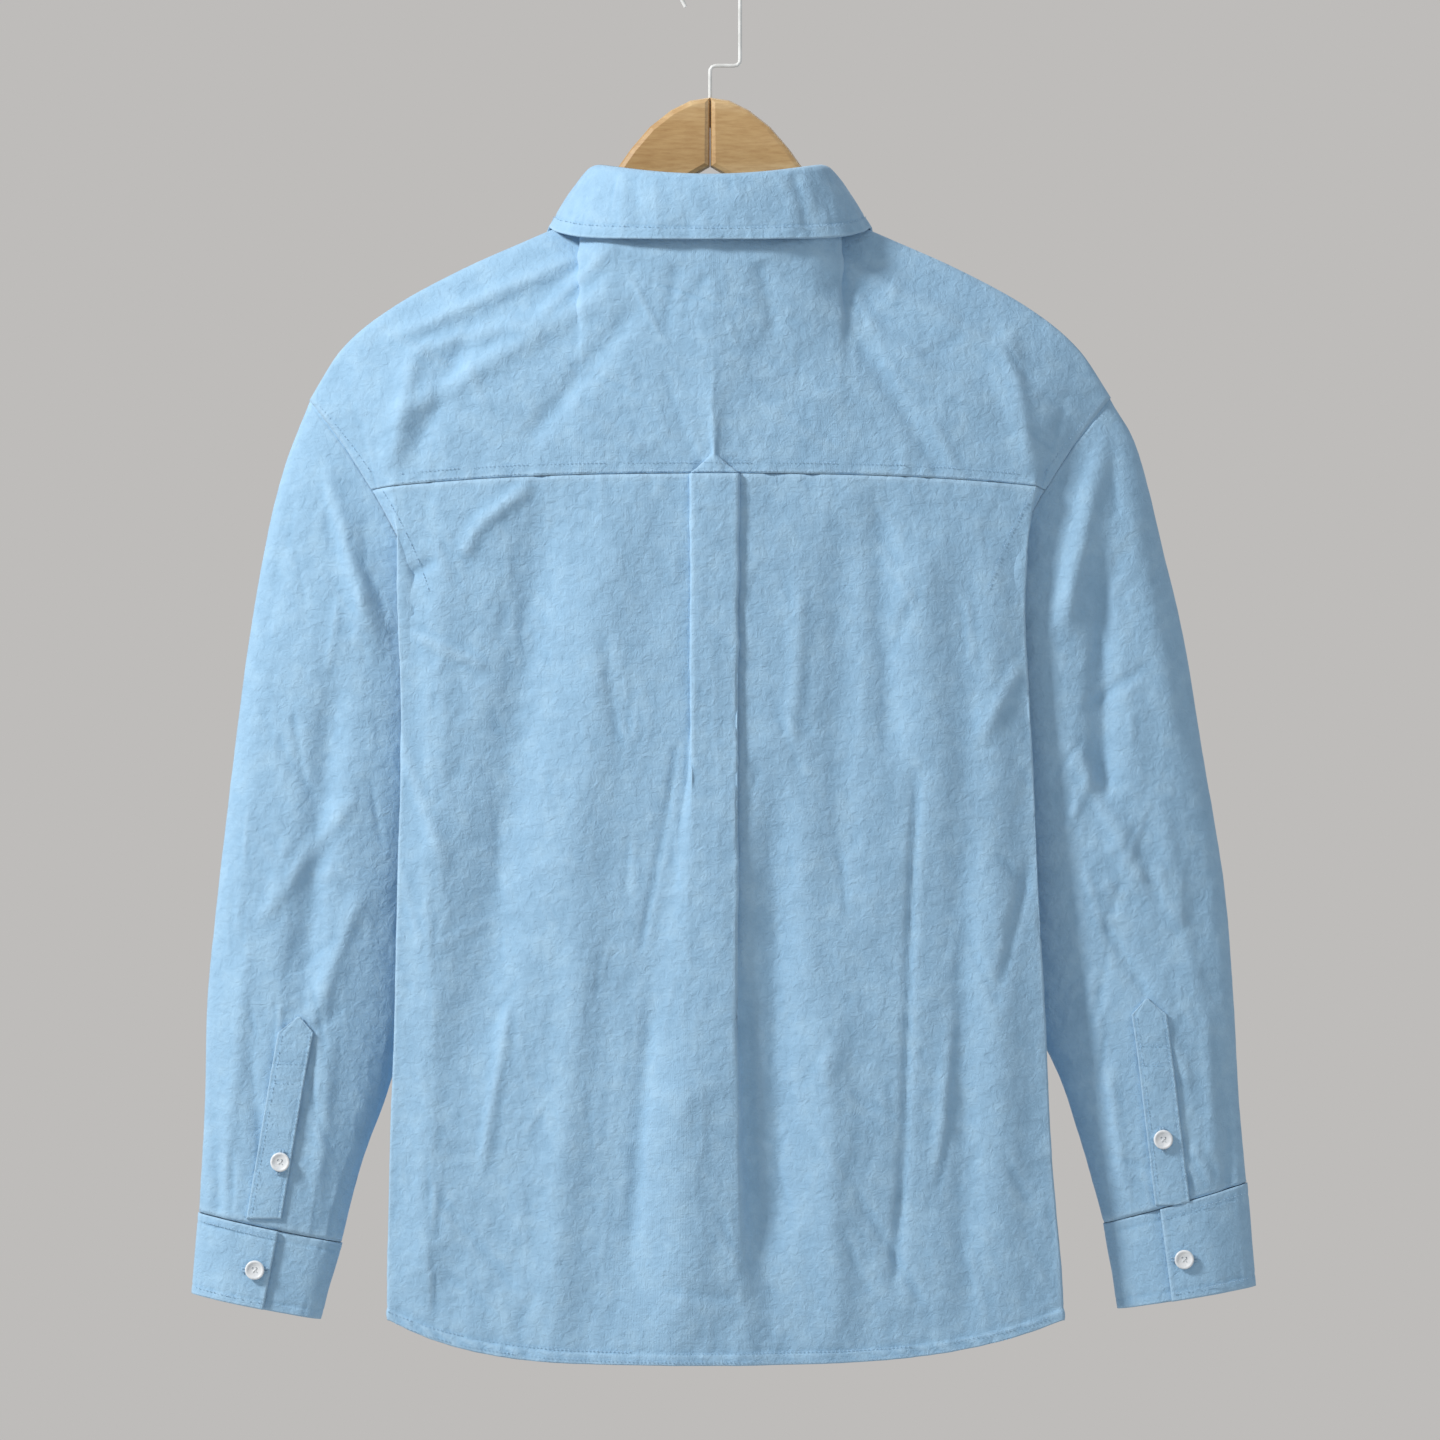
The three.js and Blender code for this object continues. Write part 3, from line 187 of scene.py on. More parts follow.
FRONT_FOLDS = [
    (105, -330, 128, -720, 3.5, 20), (-112, -330, -122, -760, 3, 22), (-62, -520, -70, -900, -3, 16),
    (66, -470, 74, -900, -3, 18), (150, -350, 120, -480, 1.8, 7), (-150, -350, -118, -500, 1.8, 7),
    (40, -330, 60, -430, 1.2, 5), (-40, -400, -58, -520, -1.3, 4), (30, -560, 44, -640, 1.2, 4),
    (-28, -650, -50, -760, 1.2, 4), (140, -700, 150, -860, -1.5, 5), (-146, -640, -140, -800, -1.5, 5),
]
SLEEVE_FOLDS = {
    LEFT: [(-263, -312, -224, -450, 4.5, 8), (-300, -440, -318, -640, 2.8, 10),
           (-250, -480, -272, -690, -3.5, 11), (-326, -838, -335, -740, -3, 5),
           (-280, -360, -300, -470, -2, 6), (-240, -560, -300, -640, 1.8, 6),
           (-232, -620, -262, -700, 1.8, 6), (-310, -660, -322, -800, 1.8, 6),
           (-252, -720, -262, -820, 1.5, 5), (-326, -640, -333, -730, -1.6, 4),
           (-300, -500, -262, -560, -1.2, 4), (-318, -560, -290, -600, 1.1, 4),
           (-262, -330, -246, -400, -2.2, 5), (-306, -720, -300, -790, -1.2, 4)],
    RIGHT: [(262, -312, 236, -440, 4.5, 8), (280, -350, 313, -530, 3.8, 10),
            (262, -400, 262, -560, -4.5, 10),
            (346, -820, 349, -725, -3, 5), (268, -300, 270, -370, -2.6, 5), (240, -520, 290, -620, 1.9, 6),
            (300, -560, 326, -700, 1.8, 7), (262, -640, 292, -690, -1.6, 5),
            (336, -568, 344, -655, -1.6, 4),
            (330, -700, 336, -800, 1.5, 5), (266, -740, 276, -820, 1.6, 5), (290, -470, 250, -500, -1.3, 4),
            (336, -818, 322, -790, 1.4, 4), (310, -640, 296, -600, 1.2, 4)],
}


FOLD_GAIN, CRUMPLE_GAIN = 1.45, 1.5


def scattered(seed, count, low, high, slant, rises):
    """Short light creases at seeded places, for cloth that has been washed and worn."""
    rng = np.random.default_rng(seed)
    rows = []
    for _ in range(count):
        x, z = rng.uniform(low[0], high[0]), rng.uniform(low[1], high[1])
        length, turn = rng.uniform(12, 55), slant + rng.normal(0, 0.55)
        rise = rng.choice((-1, 1)) * rng.uniform(*rises)
        end = (x + length * math.sin(turn), z - length * math.cos(turn))
        rows.append((x, z, *end, rise, rng.uniform(1.6, 4.2)))
    return rows


BACK_FOLDS += scattered(3, 90, (-215, -910), (225, -350), 0.1, (0.25, 0.75))
YOKE_FOLDS += scattered(4, 34, (-225, -335), (225, -205), 0.5, (0.25, 0.7))
FRONT_FOLDS += scattered(5, 60, (-180, -900), (180, -260), 0.1, (0.25, 0.7))
SLEEVE_FOLDS[LEFT] += scattered(6, 60, (-335, -820), (-225, -330), -0.15, (0.3, 0.9))
SLEEVE_FOLDS[RIGHT] += scattered(7, 60, (235, -805), (350, -330), 0.15, (0.3, 0.9))


def lift(rows, x, z):
    """How far the folds of a table move the cloth out, for arrays of x and z."""
    total = np.zeros_like(x)
    for x1, z1, x2, z2, rise, width in rows:
        dx, dz = x2 - x1, z2 - z1
        along = ((x - x1) * dx + (z - z1) * dz) / (dx * dx + dz * dz)
        across = ((x - x1) * dz - (z - z1) * dx) / math.hypot(dx, dz)
        fade = ease((along + 0.14) / 0.3) * ease((1.14 - along) / 0.3)
        total += rise * fade * np.exp(-((across / width) ** 2))
    return FOLD_GAIN * total


def ease(t):
    t = np.clip(t, 0, 1)
    return t * t * (3 - 2 * t)


def value_noise(x, z, size, seed):
    """Smooth noise between -1 and 1, with bumps about size millimetres apart."""
    grid = np.random.default_rng(seed).uniform(-1, 1, (128, 128))
    gx, gz = x / size + 512.0, z / size + 512.0
    i, j = np.floor(gx).astype(int), np.floor(gz).astype(int)
    fx, fz = ease(gx - i), ease(gz - j)
    i, j = i % 127, j % 127
    low = grid[i, j] * (1 - fx) + grid[i + 1, j] * fx
    high = grid[i, j + 1] * (1 - fx) + grid[i + 1, j + 1] * fx
    return low * (1 - fz) + high * fz


def crumple(x, z, seed):
    """The light unevenness of washed cotton: soft swells with thin ridges over them."""
    bend = 7 * value_noise(x, z, 34, seed + 3)
    swell = 0.55 * value_noise(x, z, 46, seed) + 0.3 * value_noise(x + bend, z * 0.7, 19, seed + 1)
    ridge = 1 - np.abs(value_noise(x + bend, z * 0.6 + bend, 13, seed + 2))
    return CRUMPLE_GAIN * (swell + 0.32 * ridge ** 4 + 0.12 * value_noise(x, z, 5, seed + 4))


def pucker(s, distance, reach, seed, height=0.5):
    """The gathers that a row of stitches pulls beside a seam; s runs along it."""
    wave = value_noise(s, 0 * s + 40, 5.5, seed) + 0.6 * value_noise(s, 0 * s + 90, 11, seed + 1)
    return height * wave * np.exp(-np.abs(distance) / reach)


print("folds:", len(BACK_FOLDS) + len(YOKE_FOLDS) + len(FRONT_FOLDS), "on the body")

# %% [markdown]
# ## Reading the tables
# A smooth curve runs through each column, so a few rows give the whole outline.

# %% Curves through tables
def curve(rows, along, name):
    order = sorted(rows, key=lambda row: row[along])
    xs, ys = [row[along] for row in order], [row[name] for row in order]
    last = len(xs) - 1
    slopes = []
    for i in range(len(xs)):
        a, b = max(i - 1, 0), min(i + 1, last)
        slopes.append((ys[b] - ys[a]) / (xs[b] - xs[a]))

    def read(x):
        x = min(max(x, xs[0]), xs[last])
        i = 0
        while i < last - 1 and xs[i + 1] < x:
            i += 1
        span = xs[i + 1] - xs[i]
        t, rise = (x - xs[i]) / span, ys[i + 1] - ys[i]
        bend = t * (1 - t) * ((1 - t) * (slopes[i] * span - rise) - t * (slopes[i + 1] * span - rise))
        return ys[i] + rise * t + bend

    return read


def mix(a, b, t):
    return a + (b - a) * t


def soft(t):
    t = min(1.0, max(0.0, t))
    return t * t * (3 - 2 * t)


def bezier(p0, p1, p2, p3, t):
    s = 1 - t
    weights = (s * s * s, 3 * s * s * t, 3 * s * t * t, t * t * t)
    return tuple(sum(w * p[k] for w, p in zip(weights, (p0, p1, p2, p3))) for k in range(3))


def through(points, t):
    """A Catmull-Rom curve through a few points, t from 0 to 1."""
    spans = len(points) - 1
    i = min(int(t * spans), spans - 1)
    f = t * spans - i
    p1, p2 = points[i], points[i + 1]
    p0 = points[i - 1] if i > 0 else tuple(2 * a - b for a, b in zip(p1, p2))
    p3 = points[i + 2] if i + 2 <= spans else tuple(2 * b - a for a, b in zip(p1, p2))
    return tuple(0.5 * (2 * b + (c - a) * f + (2 * a - 5 * b + 4 * c - d) * f * f
                        + (3 * b - a - 3 * c + d) * f ** 3) for a, b, c, d in zip(p0, p1, p2, p3))


# %% [markdown]
# ## Sleeves and armholes
# A sleeve is a tube through nine rings. Its first ring is the armhole, and the edge of the body lies just
# inside it, as in a lapped seam.

# %% Sleeve and cuff surfaces
def ring_reader(rows):
    shares = [(i / (len(rows) - 1),) + row for i, row in enumerate(rows)]
    curves = [curve(shares, 0, k + 1) for k in range(7)]
    return lambda share: [read(share) for read in curves]


sleeve_ring = {side: ring_reader(SLEEVE_RINGS[side]) for side, _ in SIDES}
cuff_ring = {side: ring_reader(CUFF_RINGS[side]) for side, _ in SIDES}


def ring_point(ring, side, angle):
    outer_x, outer_z, inner_x, inner_z, half_depth, middle_y, bow = ring
    across, deep = math.cos(math.radians(angle)), math.sin(math.radians(angle))
    x = mix(inner_x, outer_x, (1 + across) / 2) - side * bow * deep * deep
    return (x, middle_y - half_depth * deep, mix(inner_z, outer_z, (1 + across) / 2))


def ring_middle(rings, side, share):
    """The middle of a sleeve or a cuff at a share of its length."""
    ring = rings[side](share)
    return tuple((a + b) / 2 for a, b in zip(ring_point(ring, side, 0), ring_point(ring, side, 180)))


def armhole_edge(side, angle):
    x, y, z = ring_point(sleeve_ring[side](0), side, angle)
    y -= ARMHOLE_LAP * math.sin(math.radians(angle)) * soft((abs(angle) - 35) / 30)
    return (x - side * ARMHOLE_LAP * soft((abs(angle) - 100) / 60), y, z)


def armhole_angle(side, z):
    _, outer_z, _, inner_z, *_ = SLEEVE_RINGS[side][0]
    across = 2 * (z - inner_z) / (outer_z - inner_z) - 1
    return math.degrees(math.acos(min(1, max(-1, across))))


def angle_at_x(ring, x):
    across = 2 * (x - ring[2]) / (ring[0] - ring[2]) - 1
    return math.degrees(math.acos(min(1, max(-1, across))))


def cuff_point(side, turn, share):
    angle = CUFF_EDGE_ANGLE[side] - turn
    x, y, z = ring_point(cuff_ring[side](share), side, angle)
    layer = soft((70 - turn) / 40) - soft((turn - 314) / 40)
    return (x, y - 1.35 * layer * math.sin(math.radians(angle)), z)


def sleeve_at(side, x, z):
    """The sleeve's back-facing point at a given x and z."""
    share, angle = 0.8, 90
    for _ in range(12):
        ring = sleeve_ring[side](share)
        angle = angle_at_x(ring, x)
        share = min(1, max(0, share + (ring_point(ring, side, angle)[2] - z) / SLEEVE_LENGTH))
    return ring_point(sleeve_ring[side](share), side, angle)


# %% [markdown]
# ## Body surfaces
# One function gives the back panel: the box pleat in the middle, the flat of the back, and the part that
# turns in behind the side fold to the seam. The yoke, the fronts and the collar each have their own.

# %% Back, yoke, fronts and collar
fold_x = {LEFT: curve(SIDE_FOLD, 0, 1), RIGHT: curve(SIDE_FOLD, 0, 2)}
pleat_under = {LEFT: curve(PLEAT, 0, 1), RIGHT: curve(PLEAT, 0, 2)}
pleat_lift = curve(PLEAT, 0, 3)
ridge_z = curve(SHOULDER_RIDGE, 0, 1)
collar_edge = [curve(COLLAR_EDGE, 0, k) for k in (1, 2, 3)]
PLEAT_TOP, PLEAT_FOLDS = 0.06, 0.2


def seam_point(side, z, facing):
    if z > UNDERARM_Z:
        return armhole_edge(side, facing * armhole_angle(side, z))
    drop = soft((UNDERARM_Z - z) / 110)
    return (side * mix(185 - ARMHOLE_LAP, 175, drop), mix(6, 5, drop), z)


def pleat_path(share, under, layers):
    turn, edge = 0.8, PLEAT_HALF_WIDTH
    folded = [(edge - turn, 2), (edge, 1.5), (edge - turn, 1), (edge - under, 1),
              (edge - under - turn, 0.5), (edge - under, 0)]
    i = min(int(share * 5), 4)
    t = share * 5 - i
    out, up = mix(folded[i][0], folded[i + 1][0], t), mix(folded[i][1], folded[i + 1][1], t)
    open_out = edge - turn + share * (turn + max(2, -under))
    opened = soft((2.5 - under) / 5)
    return mix(out, open_out, opened), mix(up, 2 * (1 - soft(share)), opened) * PLEAT_STEP * layers


def back_depth(x, z, reach):
    crown = 1 - min(1, (x / reach) ** 2)
    low = soft((YOKE_SEAM_Z - z) / 500)
    return -(mix(23, 24, low) + mix(15, 17, low) * crown)


def back_point(u, v):
    side, share = (LEFT if u < 0 else RIGHT), abs(u)
    side_z = mix(armhole_edge(side, armhole_angle(side, YOKE_SEAM_Z - 10))[2], SIDE_HEM_Z, v)
    reach = abs(fold_x[side](side_z))
    inward = soft((YOKE_SEAM_Z - 2 - side_z) / 60)
    middle_z, fold_z = mix(YOKE_SEAM_Z, BACK_HEM_Z, v), mix(YOKE_SEAM_Z - 8, BACK_HEM_Z + 28, v)
    z = middle_z + (fold_z - middle_z) * min(share / SIDE_FOLD_SHARE, 1) ** 3.5
    end_x = side * (reach - 8 * inward - 4 * (1 - inward))
    rise = 0
    if share <= PLEAT_FOLDS:
        path = max(0, (share - PLEAT_TOP) / (PLEAT_FOLDS - PLEAT_TOP))
        out, rise = pleat_path(path, pleat_under[side](z), pleat_lift(z))
        x = PLEAT_CENTRE_X + side * out * min(share / PLEAT_TOP, 1)
    else:
        start = PLEAT_CENTRE_X + side * pleat_path(1, pleat_under[side](z), pleat_lift(z))[0]
        x = mix(start, end_x, (min(share, SIDE_FOLD_SHARE) - PLEAT_FOLDS) / (SIDE_FOLD_SHARE - PLEAT_FOLDS))
    here = (x, back_depth(x, z, reach) - rise, z)
    if share <= SIDE_FOLD_SHARE:
        return here
    seam = seam_point(side, side_z, 1)
    leave = (mix(x + side * 2, side * (reach + 2 * inward), inward), here[1], z)
    arrive = (seam[0] - side * mix(3, 7, inward), seam[1] - mix(1, 14, inward), mix(z, side_z, 0.8))
    return bezier(here, leave, arrive, seam, (share - SIDE_FOLD_SHARE) / (1 - SIDE_FOLD_SHARE))


def neck_point(angle):
    across, along = math.sin(math.radians(angle)), math.cos(math.radians(angle))
    drop = (NECK_BACK_Z if abs(angle) < 90 else NECK_FRONT_Z) - NECK_SIDE_Z
    return (NECK_HALF_WIDTH * across, -NECK_HALF_DEPTH * along, NECK_SIDE_Z + drop * along * along)


def yoke_section(side, station):
    at, _, neck_angle, ridge_x = station
    seam = back_point(side * at * 0.999, 0)
    seam = (seam[0], seam[1], seam[2] + SEAM_GAP)
    if neck_angle is None:
        ridge = (side * ridge_x, 1.5, ridge_z(ridge_x))
        out = (ridge_x - 110) / 140
        end = (side * (ridge_x - 4), mix(14, 22, out), ridge[2] - SHOULDER_SEAM_DROP)
        seat = 0
    else:
        end = neck_point(side * neck_angle)
        tilt = math.sin(math.radians(neck_angle)) ** 2
        ridge = (end[0] + side * 3 * tilt, end[1] - 13 * tilt - 0.4, end[2] - mix(20, 3, tilt))
        if neck_angle > 90:
            ridge = (end[0] + side * 3, 1, ridge_z(abs(end[0]) + 3))
        seat = 1 - math.sin(math.radians(min(90, neck_angle)))
    middle = tuple(mix(a, b, t) for a, b, t in zip(seam, ridge, (0.4, 0.1, 0.42)))
    near = tuple(mix(a, b, t) for a, b, t in zip(seam, ridge, (0.86, mix(0.58, 0.4, seat), 0.87)))
    return [seam, middle, near, ridge, end]


def yoke_half(side):
    sections = [(station[0], yoke_section(side, station)) for station in YOKE_STATIONS]
    top = armhole_angle(side, YOKE_SEAM_Z - 10)
    angles = (top, top * 0.72, top * 0.4, 0, -SHOULDER_SEAM_END_ANGLE)
    sections.append((1, [armhole_edge(side, angle) for angle in angles]))
    return [[curve([(at, points[k][axis]) for at, points in sections], 0, 1) for axis in range(3)]
            for k in range(5)]


yoke_curves = {side: yoke_half(side) for side, _ in SIDES}


def yoke_point(u, v):
    side, share = (LEFT if u < 0 else RIGHT), abs(u)
    section = [tuple(read(share) for read in axes) for axes in yoke_curves[side]]
    point = through(section, v)
    if share > 0.999 or v > 0.05:
        return point
    seam = back_point(u * 0.999, 0)
    fade = 1 - v / 0.05
    shift = (seam[0] - section[0][0], seam[1] - section[0][1], seam[2] + SEAM_GAP - section[0][2])
    return tuple(value + fade * move for value, move in zip(point, shift))


def front_top(side, share):
    if share > FRONT_NECK_SHARE:
        past = (share - FRONT_NECK_SHARE) / 0.48
        return neck_point(side * mix(SHOULDER_SEAM_ANGLE, 180, past))
    return yoke_point(side * mix(1, 0.5, share / FRONT_NECK_SHARE), 1)


def front_point(side, share, v):
    shoulder_z = armhole_edge(side, -SHOULDER_SEAM_END_ANGLE)[2]
    side_z = mix(shoulder_z, SIDE_HEM_Z, v)
    inward = soft((UNDERARM_Z + 15 - side_z) / 140)
    flat = max(0, (share - FRONT_WRAP) / (1 - FRONT_WRAP))
    top = front_top(side, share)
    z = mix(top[2], mix(SIDE_HEM_Z - 22, FRONT_HEM_Z, 1 - (1 - flat) ** 3), v)
    seam = seam_point(side, side_z, -1)
    edge_x = mix(abs(seam[0]) - 6, FRONT_FOLD_X, inward)
    blend = math.exp(-max(0, top[2] - z) / 70)
    x = mix(side * edge_x * (1 - flat), top[0], blend)
    depth = mix(23, 24, v) + 13 * (1 - min(1, (x / 200) ** 2))
    body = (x, mix(depth, top[1], blend), z)
    if share >= FRONT_WRAP:
        return body
    if v == 0:
        return top
    leave = (mix(x, side * (FRONT_FOLD_X + 5), inward), body[1], z)
    arrive = (seam[0] + side * 2 * inward, seam[1] + 9 * inward, mix(z, side_z, 0.8))
    return bezier(body, leave, arrive, seam, 1 - share / FRONT_WRAP)


def collar_top(angle):
    across, along = math.sin(math.radians(angle)), math.cos(math.radians(angle))
    top = COLLAR_BACK_TOP_Z if abs(angle) < 90 else COLLAR_FRONT_TOP_Z
    z = COLLAR_SIDE_TOP_Z + (top - COLLAR_SIDE_TOP_Z) * along * along
    return (COLLAR_TOP_HALF_WIDTH * across, -COLLAR_TOP_HALF_DEPTH * along, z)


def stand_point(angle, share):
    base = neck_point(math.copysign(360 - abs(angle), -angle) if abs(angle) > 180 else angle)
    base = (base[0], base[1], base[2] + SEAM_GAP + 1.6 * math.sin(math.radians(angle)) ** 2)
    lapped = math.copysign(1.3, angle) * soft((abs(angle) - 150) / 18)
    x, y, z = (mix(a, b, share) for a, b in zip(base, collar_top(angle)))
    return (x, y - math.cos(math.radians(angle)) * lapped, z)


def leaf_point(angle, share):
    side = math.copysign(1, angle)
    top = collar_top(angle)
    out = Vector((top[0] / COLLAR_TOP_HALF_WIDTH, top[1] / COLLAR_TOP_HALF_DEPTH, 0)).normalized()
    clear = DOUBLE_CLOTH + 0.5 + 1.5 * soft((abs(angle) - 140) / 15)
    roll = math.sqrt(max(0, 1 - (1 - min(1, share / 0.07)) ** 2))
    start = Vector(top) + out * (clear * roll - 0.2 * (1 - roll)) + Vector((0, 0, 1.4))
    edge = Vector([read(abs(angle)) for read in collar_edge])
    edge.x *= side
    point = start.lerp(edge, share)
    return tuple(point + out * (math.sqrt(share) * (1 - share) * 7))


# %% [markdown]
# ## From surface to cloth
# `create_grid` gives the plain grid, and each of its vertices is sent to its place on the surface. The
# folds, the crumple and the puckers then move it along the normal, and Solidify gives it its wall.

# %% Making a shell
def grid_normals(points):
    across = np.gradient(points, axis=1)
    down = np.gradient(points, axis=0)
    normals = np.cross(across, down)
    return normals / np.maximum(np.linalg.norm(normals, axis=2, keepdims=True), 1e-9)


def cloth_shell(name, surface, us, vs, wall, inside, detail=None, moved=0.0, ring=False):
    """Maps a grid of us by vs onto a surface; detail(points, u, v) moves it along its normal."""
    points = np.array([[surface(u, v) for u in us] for v in vs], dtype=float)
    normals = grid_normals(points)
    middle = points[len(vs) // 2, len(us) // 2] - np.array(inside)
    sense = 1.0 if float(np.dot(middle, normals[len(vs) // 2, len(us) // 2])) > 0 else -1.0
    grid_u, grid_v = np.meshgrid(np.array(us), np.array(vs))
    rise = np.full(grid_u.shape, moved)
    if detail:
        rise = rise + detail(points, grid_u, grid_v)
    points = points + normals * (sense * rise)[..., None]
    if ring:
        points[:, -1] = points[:, 0]
    steps = np.linalg.norm(np.diff(points, axis=1), axis=2).mean(axis=0)
    reach = np.concatenate(([0], np.cumsum(steps)))
    falls = np.linalg.norm(np.diff(points, axis=0), axis=2).mean(axis=1)
    fall = np.concatenate(([0], np.cumsum(falls)))
    mesh = bmesh.new()
    bmesh.ops.create_grid(mesh, x_segments=len(us) - 1, y_segments=len(vs) - 1, size=1)
    layer = mesh.loops.layers.uv.new("cloth")
    places = {}
    for vert in mesh.verts:
        j = round((vert.co.x + 1) / 2 * (len(us) - 1))
        i = round((vert.co.y + 1) / 2 * (len(vs) - 1))
        places[vert] = (i, j)
        vert.co = Vector(points[i, j]) * MM
    for face in mesh.faces:
        face.smooth = True
        for loop in face.loops:
            i, j = places[loop.vert]
            loop[layer].uv = (reach[j] * MM, fall[i] * MM)
    if ring:
        bmesh.ops.remove_doubles(mesh, verts=mesh.verts, dist=1e-6)
    mesh.normal_update()
    centre = Vector(points[len(vs) // 2, len(us) // 2]) * MM
    probe = min(mesh.faces, key=lambda face: (face.calc_center_median() - centre).length)
    outward = (centre - Vector(inside) * MM).dot(probe.normal)
    if outward < 0:
        bmesh.ops.reverse_faces(mesh, faces=mesh.faces)
    area = sum(face.calc_area() for face in mesh.faces)
    data = bpy.data.meshes.new(name)
    mesh.to_mesh(data)
    mesh.free()
    piece = bpy.data.objects.new(name, data)
    bpy.context.collection.objects.link(piece)
    solid = piece.modifiers.new("wall", "SOLIDIFY")
    solid.thickness = wall * MM
    solid.offset = 0
    print(name, "area", round(area, 4), "m2,", len(data.polygons), "faces")
    return piece


def line(low, high, count):
    return [mix(low, high, i / count) for i in range(count + 1)]


def attach(piece, slot, *nodes):
    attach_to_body(piece, "root")
    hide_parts(*nodes)


def sew(piece, name):
    """Lets a cloth piece stand for its CAD node and dresses it in the cotton."""
    attach(piece, "cloth", name)
    piece.data.materials.append(COTTON)


FINE = 1.0


def count(full):
    return max(8, int(full * FINE))


def spread(stops, counts):
    out = [stops[0]]
    for a, b, n in zip(stops, stops[1:], counts):
        out += line(a, b, count(n))[1:]
    return out


def both_sides(half):
    return [-share for share in reversed(half[1:])] + half


print("shell maker ready")

# %% [markdown]
# ## Materials
# Each colour is an sRGB hex value that one function turns to linear, and one function adds a node.
#
# Washed cotton poplin is a tight plain weave of matt yarn. The eye sees an even light blue, paler on the
# crests of the creases and deeper in the troughs, with a faint thread texture. The paler crests are a
# painted highlight in the colour.

# %% Node helper and colours
def colour(code):
    parts = [int(code[i:i + 2], 16) / 255 for i in (1, 3, 5)]
    linear = [c / 12.92 if c <= 0.04045 else ((c + 0.055) / 1.055) ** 2.4 for c in parts]
    return (*linear, 1.0)


def node(tree, kind, settings=None, **links):
    made = tree.nodes.new(kind)
    for key, value in (settings or {}).items():
        if hasattr(made, key):
            setattr(made, key, value)
        else:
            made.inputs[key].default_value = value
    for name, source in links.items():
        socket = int(name[3:]) if name.startswith("in_") else name.replace("_", " ")
        tree.links.new(source, made.inputs[socket])
    return made


def new_material(name, settings):
    material = bpy.data.materials.new(name)
    material.use_nodes = True
    shader = material.node_tree.nodes["Principled BSDF"]
    for key, value in settings.items():
        shader.inputs[key].default_value = value
    return material, material.node_tree, shader


def ramp(tree, source, stops):
    made = node(tree, "ShaderNodeValToRGB", Fac=source)
    elements = made.color_ramp.elements
    elements[0].position, elements[0].color = stops[0][0], colour(stops[0][1])
    elements[1].position, elements[1].color = stops[-1][0], colour(stops[-1][1])
    for place, code in stops[1:-1]:
        elements.new(place).color = colour(code)
    return made.outputs["Color"]


# %% Washed cotton poplin
THREAD_PITCH_MM = 0.9  # real poplin has about 0.25 mm; drawn coarser so that it shows at this distance


def poplin(name):
    settings = {"Roughness": 0.88, "Specular IOR Level": 0.25, "Sheen Weight": 0.18, "Sheen Roughness": 0.5}
    material, tree, shader = new_material(name, settings)
    place = node(tree, "ShaderNodeTexCoord")
    mottle = node(tree, "ShaderNodeTexNoise", {"Scale": 62.0, "Detail": 5.0, "Roughness": 0.62},
                  Vector=place.outputs["Object"])
    base = ramp(tree, mottle.outputs["Fac"], [(0.3, "#92b9d6"), (0.5, "#9ac1de"), (0.72, "#a6cbe5")])
    # Painted highlight: the crests of the creases, found by the geometry's pointiness, are mixed up to about
    # a third of the way towards a paler blue.
    worn = node(tree, "ShaderNodeNewGeometry")
    crest = {"From Min": 0.49, "From Max": 0.53, "To Min": 0.0, "To Max": 0.35}
    edge = node(tree, "ShaderNodeMapRange", crest, Value=worn.outputs["Pointiness"])
    painted_highlight = node(tree, "ShaderNodeMix", {"data_type": "RGBA"})
    tree.links.new(edge.outputs["Result"], painted_highlight.inputs[0])
    tree.links.new(base, painted_highlight.inputs[6])
    painted_highlight.inputs[7].default_value = colour("#b9d8ee")
    tree.links.new(painted_highlight.outputs[2], shader.inputs["Base Color"])
    thread = {"Scale": 2 * math.pi * 1000 / (20 * THREAD_PITCH_MM), "Distortion": 0.6, "Detail": 1.0}
    warp = node(tree, "ShaderNodeTexWave", {**thread, "bands_direction": "X"}, Vector=place.outputs["UV"])
    weft = node(tree, "ShaderNodeTexWave", {**thread, "bands_direction": "Y"}, Vector=place.outputs["UV"])
    weave = node(tree, "ShaderNodeMath", {"operation": "MULTIPLY"}, in_0=warp.outputs["Fac"],
                 in_1=weft.outputs["Fac"])
    wrinkled = {"Scale": 170.0, "Detail": 6.0, "Roughness": 0.6, "Distortion": 0.5}
    crinkle = node(tree, "ShaderNodeTexNoise", wrinkled, Vector=place.outputs["Object"])
    first = node(tree, "ShaderNodeBump", {"Strength": 0.75, "Distance": 0.0018},
                 Height=crinkle.outputs["Fac"])
    second = node(tree, "ShaderNodeBump", {"Strength": 0.25, "Distance": 0.0003},
                  Height=weave.outputs["Value"], Normal=first.outputs["Normal"])
    tree.links.new(second.outputs["Normal"], shader.inputs["Normal"])
    return material


COTTON = poplin("washed_cotton_poplin")
print("cotton ready, threads drawn", THREAD_PITCH_MM, "mm apart")

# %% [markdown]
# ## Back panel
# The biggest piece. The pleat is laid in three layers under the yoke and falls open towards the hem, and
# the hem is a narrow double fold, a little thicker than the cloth and gathered by its stitches.

# %% Back panel
INSIDE = (0, 3, -600)


def near(value, at, width):
    return np.exp(-((value - at) / width) ** 2)


def hem_detail(x, distance, seed):
    roll = 0.5 * ease((9 - distance) / 2.5) - 0.5 * near(distance, 8, 1.3)
    rope = 0.45 * np.sin((x + 1.1 * distance) / 2.3 + 2 * value_noise(x, x * 0, 30, seed))
    rope = rope * ease((8 - distance) / 3) * (0.35 + 0.65 * ease((np.abs(x) - 60) / 90))
    return roll + rope + pucker(x, distance - 8, 7, seed, 0.45)


